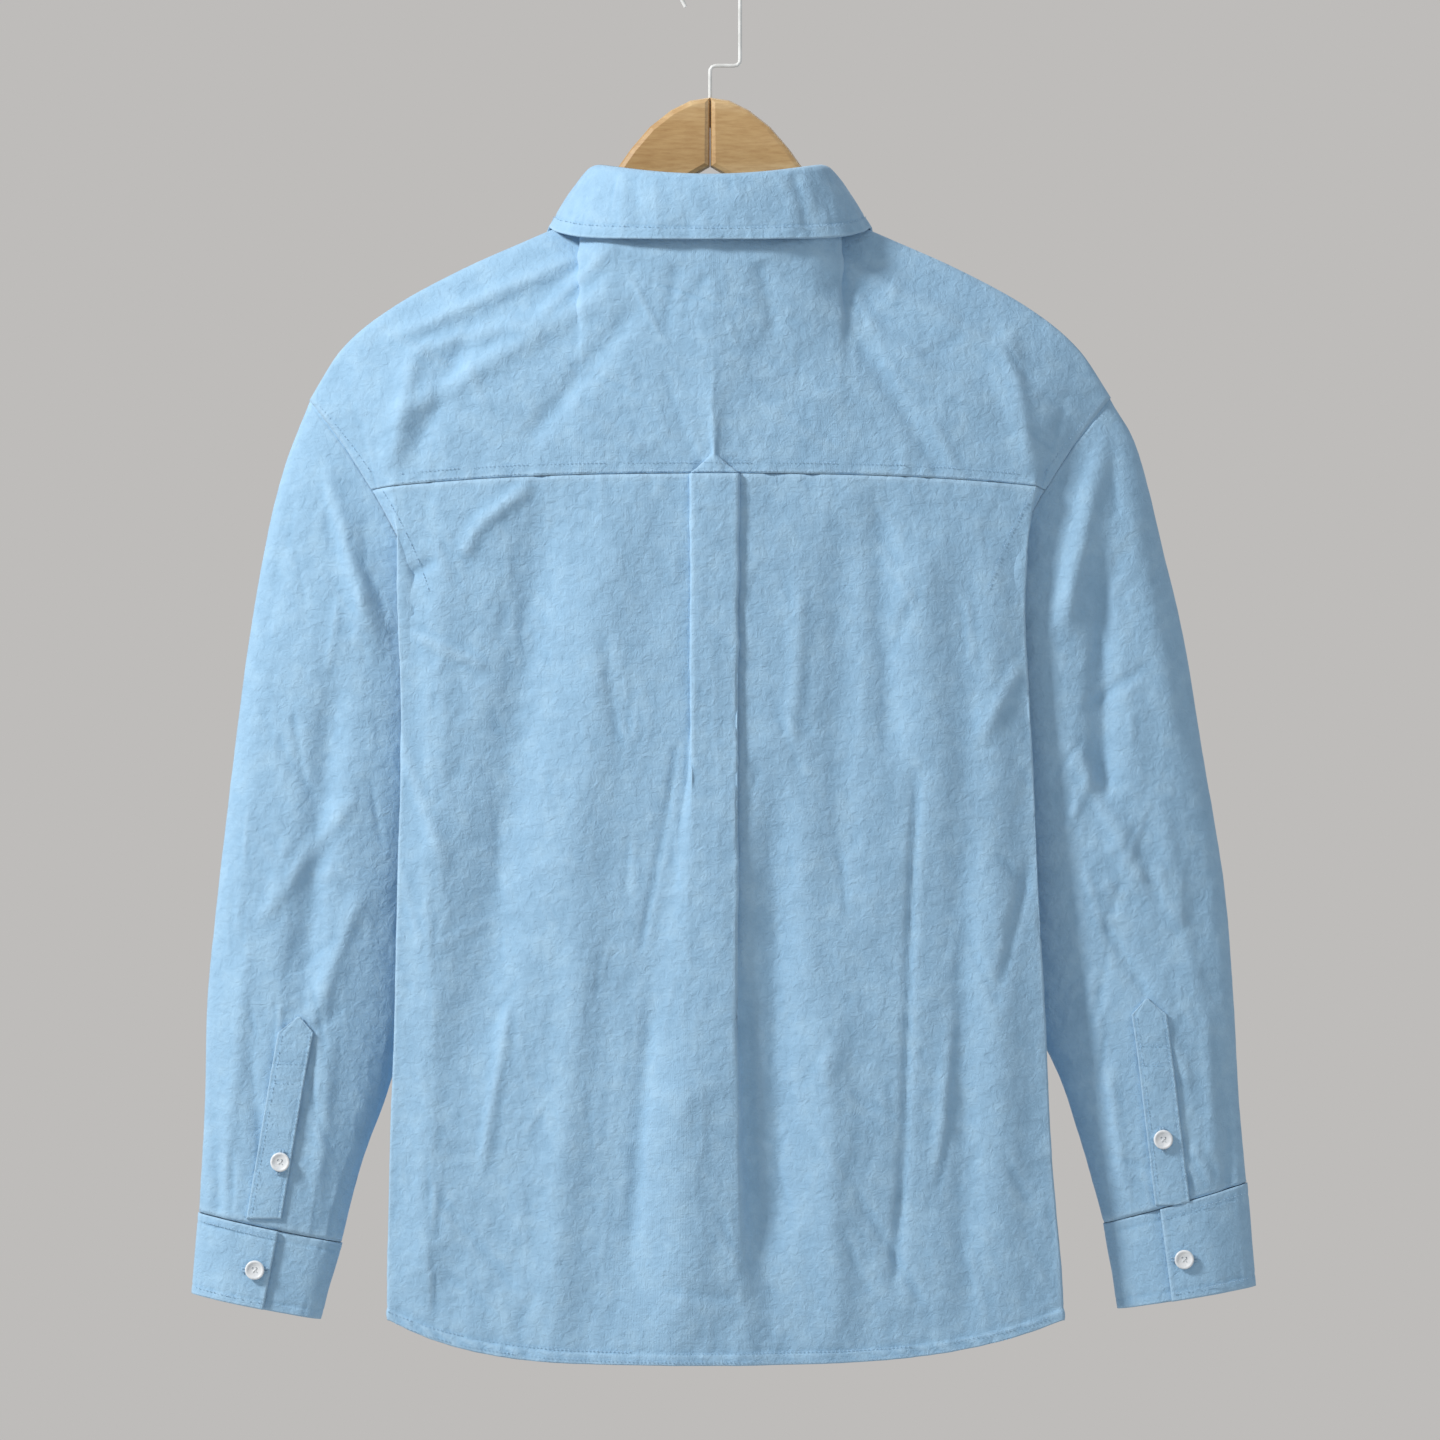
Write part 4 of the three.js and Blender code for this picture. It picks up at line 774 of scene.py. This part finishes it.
def back_detail(points, u, v):
    x, z = points[..., 0], points[..., 2]
    facing = ease((0.86 - np.abs(u)) / 0.05)
    rise = facing * lift(BACK_FOLDS, x, z) + (0.35 + 0.65 * facing) * crumple(x, z, 11)
    rise += pucker(x, v * BACK_LENGTH, 13, 21, 0.6) * (1 - 0.4 * near(x, PLEAT_CENTRE_X, 22))
    length = BACK_LENGTH - 30 * (np.abs(x) / 240) ** 3.5
    rise += hem_detail(x, (1 - v) * length, 31)
    on_pleat = near(np.abs(u), PLEAT_TOP, 0.012)
    return rise + 0.25 * on_pleat * value_noise(z, z * 0, 14, 33)


back_us = both_sides(spread([0, PLEAT_TOP, PLEAT_FOLDS, SIDE_FOLD_SHARE, 0.9975], [5, 20, 78, 18]))
back_vs = spread([0, 0.08, 0.985, 1], [18, 165, 8])
back = cloth_shell("back_panel_cloth", back_point, back_us, back_vs, CLOTH, INSIDE, back_detail)
sew(back, "back_panel")

# %% [markdown]
# ## Yoke
# The yoke lies over the hanger's arms. Soft ridges run from the collar to the armholes, where the weight
# of the sleeves pulls.

# %% Yoke
def yoke_detail(points, u, v):
    x, z = points[..., 0], points[..., 2]
    fade = ease((0.72 - v) / 0.16) * ease((1 - np.abs(u)) / 0.06 + 0.25)
    rise = fade * (lift(YOKE_FOLDS, x, z) + 0.8 * crumple(x, z, 12))
    rise += pucker(x, v * YOKE_LENGTH, 12, 23, 0.6)
    rise += pucker(z, (1 - np.abs(u)) * 120, 8, 25, 0.45) * ease((0.72 - v) / 0.2)
    rise -= 0.5 * near((1 - np.abs(u)) * 150, ARMHOLE_STITCH, 1.6) * ease((0.72 - v) / 0.1)
    return np.maximum(rise, -0.2 - 3 * (1 - v))


yoke_us = both_sides(spread([0, 0.42, 0.95, 0.997], [44, 66, 12]))
yoke_vs = spread([0, 0.6, 0.988], [80, 34])
yoke = cloth_shell("back_yoke_cloth", yoke_point, yoke_us, yoke_vs, CLOTH, (0, 3, -400), yoke_detail)
sew(yoke, "back_yoke")

# %% [markdown]
# ## Fronts and front placket
# The two fronts meet below the placket, a doubled strip that carries the buttonholes.

# %% Fronts
def make_front(side, name, last_x):
    def surface(share, v):
        x, y, z = front_point(side, min(share, FRONT_EDGE_SHARE), v)
        if share > FRONT_EDGE_SHARE:
            far = front_point(side, share, v)
            x, y, z = mix(x, side * last_x, (share - FRONT_EDGE_SHARE) / 0.06), far[1], far[2]
        return (x, y, z - 2 * SEAM_GAP * (1 - v))

    def detail(points, u, v):
        x, z = points[..., 0], points[..., 2]
        open_cloth = ease((u - 0.12) / 0.08) * ease((np.abs(x) - 17) / 10)
        rise = open_cloth * ease(v / 0.06) * lift(FRONT_FOLDS, x, z)
        rise += (0.3 + 0.7 * open_cloth) * crumple(x, z, 14) * ease((np.abs(x) - 14) / 10) * ease(v / 0.03)
        return rise + 0.8 * hem_detail(x, (1 - v) * FRONT_LENGTH, 41) * ease((np.abs(x) - 17) / 4)

    shares = spread([0.005, FRONT_WRAP, FRONT_EDGE_SHARE, 1], [14, 74, 6])
    falls = spread([0, 0.98, 1], [150, 8])
    piece = cloth_shell(name + "_cloth", surface, shares, falls, CLOTH, INSIDE, detail)
    sew(piece, name)


make_front(LEFT, "front_left", 12.5)
make_front(RIGHT, "front_right", -11.5)


def front_placket_point(across, v):
    _, y, z = front_point(LEFT, 1, v)
    return (across * FRONT_PLACKET_HALF, y, z - 0.9 + 0.4 * v)


def placket_strip_detail(points, u, v):
    edge = np.minimum(1 - np.abs(u), 1) * FRONT_PLACKET_HALF
    rise = -0.3 * near(edge, 5, 1.1) + pucker(points[..., 2], edge - 5, 4, 51, 0.3)
    return rise + 0.25 * value_noise(points[..., 0], points[..., 2], 22, 52)


strip = cloth_shell("front_placket_cloth", front_placket_point, line(-1, 1, count(34)),
                    line(0, 1, count(260)), DOUBLE_CLOTH, INSIDE, placket_strip_detail, moved=2.1)
sew(strip, "front_placket")

# %% [markdown]
# ## Collar
# The stand is a ring that overlaps at the front, and the leaf rolls over it and falls outwards. The leaf
# is cut a little larger than it needs, so it puckers along its topstitching.

# %% Collar
def stand_detail(points, u, v):
    return 0.2 * value_noise(u * 1.4, v * 30, 12, 61)


def leaf_detail(points, u, v):
    around = u * 1.55
    rise = 0.55 * value_noise(around, v * 44, 19, 62) + 0.25 * value_noise(around * 1.4, v * 30, 7, 63)
    edge = (1 - v) * LEAF_HEIGHT
    rise += pucker(around, edge - 8.5, 5.5, 64, 0.55) - 0.4 * near(edge, 8.5, 1.2)
    for at, width, height in ((-46, 3, 0.7), (-38, 2.5, -0.5), (-29, 3, 0.6), (36, 4, 0.7), (43, 3, -0.7)):
        rise += height * near(u, at + 6 * v, width) * ease(v / 0.2) * ease((1 - v) / 0.3)
    return rise * ease(v / 0.1) * ease((177 - np.abs(u)) / 8 + 0.2)


stand = cloth_shell("collar_stand_cloth", stand_point, line(-189, 189, count(190)), line(0, 1, count(14)),
                    DOUBLE_CLOTH, (0, 0, -180), stand_detail)
sew(stand, "collar_stand")

leaf = cloth_shell("collar_leaf_cloth", leaf_point, line(-173, 173, count(260)),
                   spread([0, 0.09, 1], [10, 44]), DOUBLE_CLOTH, (0, 0, -180), leaf_detail)
sew(leaf, "collar_leaf")

# %% [markdown]
# ## Sleeves, plackets and cuffs
# The sleeves hang half flattened. Their folds start at the armhole and at the pleats above the cuff, and
# the seam allowance of each armhole is stitched flat on the body's side.

# %% Sleeves
def sleeve_detail(side):
    def detail(points, u, v):
        x, z = points[..., 0], points[..., 2]
        deep = np.sin(np.radians(u))
        facing = deep * np.abs(deep)
        rise = np.abs(facing) * ease(v * 9) * lift(SLEEVE_FOLDS[side], x, z)
        rise += crumple(x + 300 * (deep < 0), z, 71 + side) * ease(v * 16) * (0.35 + 0.65 * np.abs(deep))
        along = (1 - v) * SLEEVE_LENGTH
        rise += pucker(x, along, 17, 73, 0.9) * ease(along / 3)
        return rise - 0.35 * near(np.abs(u - 180), 0, 3) * ease((v - 0.1) / 0.1)
    return detail


for side, name in SIDES:
    centre = ring_middle(sleeve_ring, side, 0.5)

    def sleeve_surface(angle, share):
        here = Vector(ring_point(sleeve_ring[side](max(0, share)), side, angle))
        if share >= 0:
            return here
        along = (here - Vector(ring_point(sleeve_ring[side](0.01), side, angle))) / 0.01
        return here - share * along + Vector((0, 0.8 * math.sin(math.radians(angle)), 0))

    sleeve = cloth_shell(f"sleeve_{name}_cloth", sleeve_surface, line(0, 360, count(230)),
                         spread([-0.012, 0, 0.1, 0.999], [3, 18, 150]), CLOTH, centre, sleeve_detail(side),
                         ring=True)
    sew(sleeve, f"sleeve_{name}")


# %% Cuffs and sleeve plackets
def cuff_detail(points, u, v):
    edge = np.minimum(v, 1 - v) * CUFF_HEIGHT
    rise = pucker(u, edge - 6, 5, 81, 0.35) - 0.35 * near(edge, 6, 1.1)
    rise = rise + 0.3 * value_noise(u * 0.9, v * CUFF_HEIGHT, 16, 82)
    return rise - 0.3 * near(u * 0.9, 6, 1.2)


def make_sleeve_placket(side, name):
    tip_x, tip_z, foot_x, foot_z = PLACKET[side]

    def surface(across, share):
        z = mix(tip_z, foot_z, share)
        half = max(0.8, SLEEVE_PLACKET_HALF * min(1, (tip_z - z) / PLACKET_TIP))
        return sleeve_at(side, mix(tip_x, foot_x, share) + across * half, z)

    def detail(points, u, v):
        edge = (1 - np.abs(u)) * SLEEVE_PLACKET_HALF
        rise = -0.3 * near(edge, 2.2, 0.9) + 0.3 * value_noise(points[..., 0], points[..., 2], 14, 84)
        lower, upper = (0.3 * near(v * PLACKET_LENGTH, drop, 1.2) for drop in reversed(CROSS_STITCHES))
        return rise - lower - upper

    centre = ring_middle(sleeve_ring, side, 0.9)
    piece = cloth_shell(f"sleeve_placket_{name}_cloth", surface, line(-1, 1, count(26)),
                        spread([0.004, 0.08, 1], [14, 90]), DOUBLE_CLOTH, centre, detail, moved=2.2)
    sew(piece, f"sleeve_placket_{name}")


for side, name in SIDES:
    centre = ring_middle(cuff_ring, side, 0.5)

    def cuff_surface(turn, share):
        return cuff_point(side, turn, share)

    cuff = cloth_shell(f"cuff_{name}_cloth", cuff_surface, line(0, 384, count(200)), line(0, 1, count(44)),
                       DOUBLE_CLOTH, centre, cuff_detail)
    sew(cuff, f"cuff_{name}")
    make_sleeve_placket(side, name)

# %% [markdown]
# ## Buttons
# White resin shirt buttons: a turned disc with a raised rim, four holes and crossed thread. A profile is
# spun into the disc, and each hole is a small disc of painted shade just proud of the button's face.

# %% Buttons
RESIN = new_material("white_button_resin", {"Roughness": 0.28, "Coat Weight": 0.3})[0]
# Painted shade: each hole is a solid grey-blue disc that stands in for the shade inside it.
HOLE = new_material("button_hole_shadow", {"Base Color": colour("#51606b"), "Roughness": 0.8})[0]
THREAD = new_material("white_sewing_thread", {"Base Color": colour("#e6ebee"), "Roughness": 0.8})[0]
BUTTON_DEPTH = 2.6
HOLE_RADIUS, HOLE_FROM_MIDDLE, HOLE_DEPTH = 0.62, 1.75, 0.16
THREAD_RADIUS, THREAD_LENGTH = 0.3, 3.7


def resin_grain(material):
    tree = material.node_tree
    place = node(tree, "ShaderNodeTexCoord")
    cloud = node(tree, "ShaderNodeTexNoise", {"Scale": 240.0, "Detail": 3.0},
                 Vector=place.outputs["Object"])
    tone = ramp(tree, cloud.outputs["Fac"], [(0.35, "#dfe3e6"), (0.65, "#f3f4f4")])
    tree.links.new(tone, tree.nodes["Principled BSDF"].inputs["Base Color"])


resin_grain(RESIN)


def add_rods(mesh, places, segments, radius, depth, slot):
    """Adds a short rod at each place, in the material of one slot."""
    start = len(mesh.faces)
    for place in places:
        bmesh.ops.create_cone(mesh, cap_ends=True, segments=segments, radius1=radius, radius2=radius,
                              depth=depth, matrix=place)
    mesh.faces.ensure_lookup_table()
    for face in mesh.faces[start:]:
        face.material_index = slot


def make_button(name, diameter):
    low, high = (Vector(corner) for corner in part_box(name))
    centre = (low + high) / 2
    facing = 1 if name.startswith(("front", "collar")) else -1
    r, t = diameter / 2, BUTTON_DEPTH
    profile = [(0.01, -t / 2), (r - 0.9, -t / 2), (r - 0.15, -0.3), (r, 0.3), (r - 0.35, t / 2 - 0.25),
               (r - 1.0, t / 2), (r - 1.7, t / 2 - 0.3), (r - 2.3, t / 2 - 0.75), (0.01, t / 2 - 0.8)]
    mesh = bmesh.new()
    points = [mesh.verts.new((a, 0, b)) for a, b in profile]
    edges = [mesh.edges.new(pair) for pair in zip(points, points[1:])]
    bmesh.ops.spin(mesh, geom=points + edges, axis=(0, 0, 1), cent=(0, 0, 0), angle=math.tau, steps=40,
                   use_merge=True)
    bmesh.ops.remove_doubles(mesh, verts=mesh.verts, dist=0.03)
    bmesh.ops.recalc_face_normals(mesh, faces=mesh.faces)
    for face in mesh.faces:
        face.smooth = True
    holes, threads = [], []
    for turn in (45, 135, 225, 315):
        across = HOLE_FROM_MIDDLE * math.cos(math.radians(turn))
        up = HOLE_FROM_MIDDLE * math.sin(math.radians(turn))
        holes.append(Matrix.Translation((across, up, t / 2 - 0.83)))
    for turn in (45, 135):
        place = Matrix.Translation((0, 0, t / 2 - 0.6)) @ Matrix.Rotation(math.radians(turn), 4, "Z")
        threads.append(place @ Matrix.Rotation(math.pi / 2, 4, "Y"))
    add_rods(mesh, holes, 14, HOLE_RADIUS, HOLE_DEPTH, 1)
    add_rods(mesh, threads, 8, THREAD_RADIUS, THREAD_LENGTH, 2)
    turn = Matrix.Rotation(-facing * math.pi / 2, 4, "X")
    seat = Matrix.Translation(centre) @ turn @ Matrix.Scale(MM, 4)
    bmesh.ops.transform(mesh, matrix=seat, verts=mesh.verts)
    data = bpy.data.meshes.new(name + "_resin")
    mesh.to_mesh(data)
    mesh.free()
    piece = bpy.data.objects.new(name + "_resin", data)
    bpy.context.collection.objects.link(piece)
    for material in (RESIN, HOLE, THREAD):
        data.materials.append(material)
    attach(piece, "button", name)


for name in [f"front_button_{i}" for i in range(1, 7)] + ["collar_button"]:
    make_button(name, 12)
for name in ("placket_button_left", "placket_button_right", "cuff_button_left", "cuff_button_right"):
    make_button(name, 13)
print("buttons made")

# %% [markdown]
# ## Stitches and buttonholes
# Topstitching is a row of short raised threads a little apart, all joined into one mesh. Buttonholes are
# two close rows of the same thread around a slit.

# %% Stitches
stitch_mesh = bmesh.new()


def add_stitch(start, end, radius=0.24):
    start, end = Vector(start), Vector(end)
    along = end - start
    if along.length < 0.2:
        return
    turn = along.to_track_quat("Z", "Y").to_matrix().to_4x4()
    place = Matrix.Translation((start + end) / 2) @ turn
    bmesh.ops.create_cone(stitch_mesh, cap_ends=True, segments=5, radius1=radius, radius2=radius,
                          depth=along.length, matrix=place)


def stitch_row(points, length=2.0, gap=0.7):
    """Lays stitches along a polyline of surface points, in millimetres."""
    points = [Vector(point) for point in points]
    reach, travelled = 0.0, 0.0
    for a, b in zip(points, points[1:]):
        span = (b - a).length
        while reach < travelled + span:
            t1 = (reach - travelled) / span
            t2 = min(1.0, t1 + length / span)
            add_stitch(a.lerp(b, t1), a.lerp(b, t2))
            reach += length + gap
        travelled += span


def on_cloth(piece, point, direction, lift_off):
    """Drops a point onto a cloth piece along a direction; None where it misses."""
    start = Vector(point) * MM - Vector(direction) * 0.05
    hit, place, _, _ = piece.ray_cast(start, Vector(direction), distance=0.15)
    return place / MM - Vector(direction) * lift_off if hit else None


def project_row(piece, points, out):
    """Lays stitches where a row of points, seen from behind the shirt, falls on a piece."""
    row = []
    for point in points:
        found = on_cloth(piece, point, TOWARDS, 0.15 + out)
        if found is None:
            stitch_row(row)
            row = []
        else:
            row.append(found)
    stitch_row(row)


cloth = {piece.name: piece for piece in bpy.data.objects if piece.name.endswith("_cloth")}
TOWARDS = (0, 1, 0)

xs = line(-205, 209, 300)
for rise in (1.6, 7.5):
    row = [(x, BEHIND, YOKE_SEAM_Z + rise - 8 * (abs(x) / 215) ** 3) for x in xs]
    project_row(cloth["back_yoke_cloth"], row, out=0.5)
for rise in (2.5, 8.5):
    row = []
    for x in line(-222, 236, 340):
        share = min(1, abs(x) / (abs(fold_x[LEFT if x < 0 else RIGHT](BACK_HEM_Z)))) * SIDE_FOLD_SHARE
        z = BACK_HEM_Z + 28 * (share / SIDE_FOLD_SHARE) ** 3.5
        row.append((x, BEHIND, z + rise))
    project_row(cloth["back_panel_cloth"], row, out=0.5)
bpy.context.view_layer.update()
for side, name in SIDES:
    edge = [armhole_edge(side, angle) for angle in line(6, 96, 90)]
    armhole = [(x - side * ARMHOLE_STITCH, BEHIND, z) for x, _, z in edge]
    above = [point for point in armhole if point[2] > YOKE_SEAM_Z]
    below = [point for point in armhole if point[2] < YOKE_SEAM_Z - 4]
    project_row(cloth["back_yoke_cloth"], above, out=0.5)
    project_row(cloth["back_panel_cloth"], below, out=0.5)
row = []
for angle in line(-168, 168, 260):
    point = Vector(leaf_point(angle, 0.82))
    across = Vector((math.sin(math.radians(angle)), -math.cos(math.radians(angle)), 0))
    found = on_cloth(cloth["collar_leaf_cloth"], point, tuple(-across), 0.95)
    if found is not None:
        row.append(found)
stitch_row(row, 2.0, 0.8)
for side, name in SIDES:
    for share in (0.09, 0.91):
        row = [on_cloth(cloth[f"cuff_{name}_cloth"], cuff_point(side, turn, share), TOWARDS, 0.95)
               for turn in line(2, 176, 70)]
        stitch_row([point for point in row if point is not None], 2.0, 0.8)
    tip_x, tip_z, foot_x, foot_z = PLACKET[side]
    strip = cloth[f"sleeve_placket_{name}_cloth"]
    for across in (-9.4, 9.4):
        row = [(mix(tip_x, foot_x, t) + across, BEHIND, mix(tip_z, foot_z, t)) for t in line(0.09, 0.98, 60)]
        project_row(strip, row, out=0.8)
    for drop in CROSS_STITCHES:
        middle = mix(tip_x, foot_x, drop / (tip_z - foot_z))
        row = [(middle + across, BEHIND, tip_z - drop) for across in line(-9, 9, 12)]
        project_row(strip, row, out=0.8)


# %% Buttonholes
def buttonhole(piece, centre, along, length):
    side_step = Vector(along).cross(Vector(TOWARDS)).normalized()
    for offset in (-0.75, 0.75):
        for t in line(-length / 2, length / 2, int(length / 0.62)):
            point = Vector(centre) + Vector(along) * t
            inner = on_cloth(piece, point + side_step * offset * 0.35, TOWARDS, 1.0)
            outer = on_cloth(piece, point + side_step * offset * 2.3, TOWARDS, 1.0)
            if inner is not None and outer is not None:
                add_stitch(inner, outer, 0.3)


for side, name in SIDES:
    x, z = PLACKET_BUTTON[side]
    tip_x, tip_z, foot_x, foot_z = PLACKET[side]
    lean = Vector((foot_x - tip_x, 0, foot_z - tip_z)).normalized()
    buttonhole(cloth[f"sleeve_placket_{name}_cloth"], (x, BEHIND, z), lean, 16)
    x, z = CUFF_BUTTON[side]
    buttonhole(cloth[f"cuff_{name}_cloth"], (x, BEHIND, z), (1, 0, 0), 17)

bmesh.ops.transform(stitch_mesh, matrix=Matrix.Scale(MM, 4), verts=stitch_mesh.verts)
for face in stitch_mesh.faces:
    face.smooth = True
data = bpy.data.meshes.new("topstitching")
stitch_mesh.to_mesh(data)
print("stitch faces", len(data.polygons))
stitch_mesh.free()
topstitching = bpy.data.objects.new("topstitching", data)
bpy.context.collection.objects.link(topstitching)
thread_look = {"Base Color": colour("#a9cae2"), "Roughness": 0.75}
COTTON_THREAD = new_material("blue_cotton_thread", thread_look)[0]
data.materials.append(COTTON_THREAD)
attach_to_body(topstitching, "root")

# %% [markdown]
# ## Hanger
# Pale maple under a thin satin varnish: long grain lines, slow colour bands and a light coat. One tilt
# serves the grain of both arms. The hook is wire with a white plastic coat.

# %% Wood and wire
def maple(name):
    satin = {"Roughness": 0.42, "Coat Weight": 0.25, "Coat Roughness": 0.3}
    material, tree, shader = new_material(name, satin)
    place = node(tree, "ShaderNodeTexCoord")
    stretch = node(tree, "ShaderNodeMapping", Vector=place.outputs["Object"])
    stretch.inputs["Scale"].default_value = (1.6, 12.0, 12.0)
    stretch.inputs["Rotation"].default_value = (0, 0.44, 0)
    bands = node(tree, "ShaderNodeTexNoise", {"Scale": 3.4, "Detail": 4.0, "Distortion": 0.6},
                 Vector=stretch.outputs["Vector"])
    grain = node(tree, "ShaderNodeTexNoise", {"Scale": 42.0, "Detail": 6.0, "Roughness": 0.65},
                 Vector=stretch.outputs["Vector"])
    base = ramp(tree, bands.outputs["Fac"], [(0.3, "#c39c66"), (0.5, "#cfab76"), (0.7, "#dcbc8b")])
    dark = ramp(tree, grain.outputs["Fac"], [(0.35, "#b98f5a"), (0.6, "#ffffff")])
    blend = node(tree, "ShaderNodeMix", {"data_type": "RGBA", "blend_type": "MULTIPLY"})
    blend.inputs[0].default_value = 0.35
    tree.links.new(base, blend.inputs[6])
    tree.links.new(dark, blend.inputs[7])
    tree.links.new(blend.outputs[2], shader.inputs["Base Color"])
    relief = node(tree, "ShaderNodeBump", {"Strength": 0.12, "Distance": 0.0003},
                  Height=grain.outputs["Fac"])
    tree.links.new(relief.outputs["Normal"], shader.inputs["Normal"])
    return material


def coated_wire(name):
    material, tree, shader = new_material(name, {"Roughness": 0.32, "Coat Weight": 0.2})
    place = node(tree, "ShaderNodeTexCoord")
    cloud = node(tree, "ShaderNodeTexNoise", {"Scale": 120.0, "Detail": 3.0},
                 Vector=place.outputs["Object"])
    tone = ramp(tree, cloud.outputs["Fac"], [(0.35, "#dcdcd8"), (0.65, "#efefec")])
    tree.links.new(tone, shader.inputs["Base Color"])
    return material


# %% Materials on the hanger
MAPLE = maple("pale_maple")
WIRE = coated_wire("white_coated_wire")
for name, material in (("hanger_board_left", MAPLE), ("hanger_board_right", MAPLE), ("hanger_hook", WIRE)):
    mesh = frame["nodes"][name].data
    mesh.materials.clear()
    mesh.materials.append(material)
print("hanger finished in", MAPLE.name, "and", WIRE.name)

# %% [markdown]
# ## Studio
# A plain pale floor well below the shirt, a soft key light from the upper left, a weak fill from the
# right, one light on the far side, and an even pale background.

# %% Floor, light and background
bpy.ops.mesh.primitive_plane_add(size=7, location=(0, 0, -1.6))
floor = bpy.context.object
floor.name = "studio_floor"
PALE = new_material("pale_floor", {"Base Color": colour("#c9c8c6"), "Roughness": 0.9})[0]
floor.data.materials.append(PALE)


def soft_light(name, where, size, power):
    lamp = bpy.data.lights.new(name, "AREA")
    lamp.shape, lamp.size, lamp.energy = "SQUARE", size, power
    made = bpy.data.objects.new(name, lamp)
    made.location = where
    made.rotation_euler = (Vector((0, 0, -0.5)) - Vector(where)).to_track_quat("-Z", "Y").to_euler()
    made.visible_camera = False
    bpy.context.collection.objects.link(made)


soft_light("key", (-2.9, -1.6, 1.7), 0.6, 150)
soft_light("fill", (2.6, -2.6, 0.2), 2.2, 12)
soft_light("back", (0.6, 3.0, 0.8), 2.2, 22)

world = bpy.data.worlds.new("studio")
world.use_nodes = True
bpy.context.scene.world = world
tree = world.node_tree
for old in list(tree.nodes):
    tree.nodes.remove(old)
path = node(tree, "ShaderNodeLightPath")
seen = node(tree, "ShaderNodeBackground", {"Color": colour("#bebcba"), "Strength": 1.0})
felt = node(tree, "ShaderNodeBackground", {"Color": colour("#d8dce2"), "Strength": 0.5})
choose = node(tree, "ShaderNodeMixShader", in_0=path.outputs["Is Camera Ray"],
              in_1=felt.outputs["Background"], in_2=seen.outputs["Background"])
node(tree, "ShaderNodeOutputWorld", Surface=choose.outputs["Shader"])
bpy.context.scene.view_settings.view_transform = "Standard"
print("studio ready")
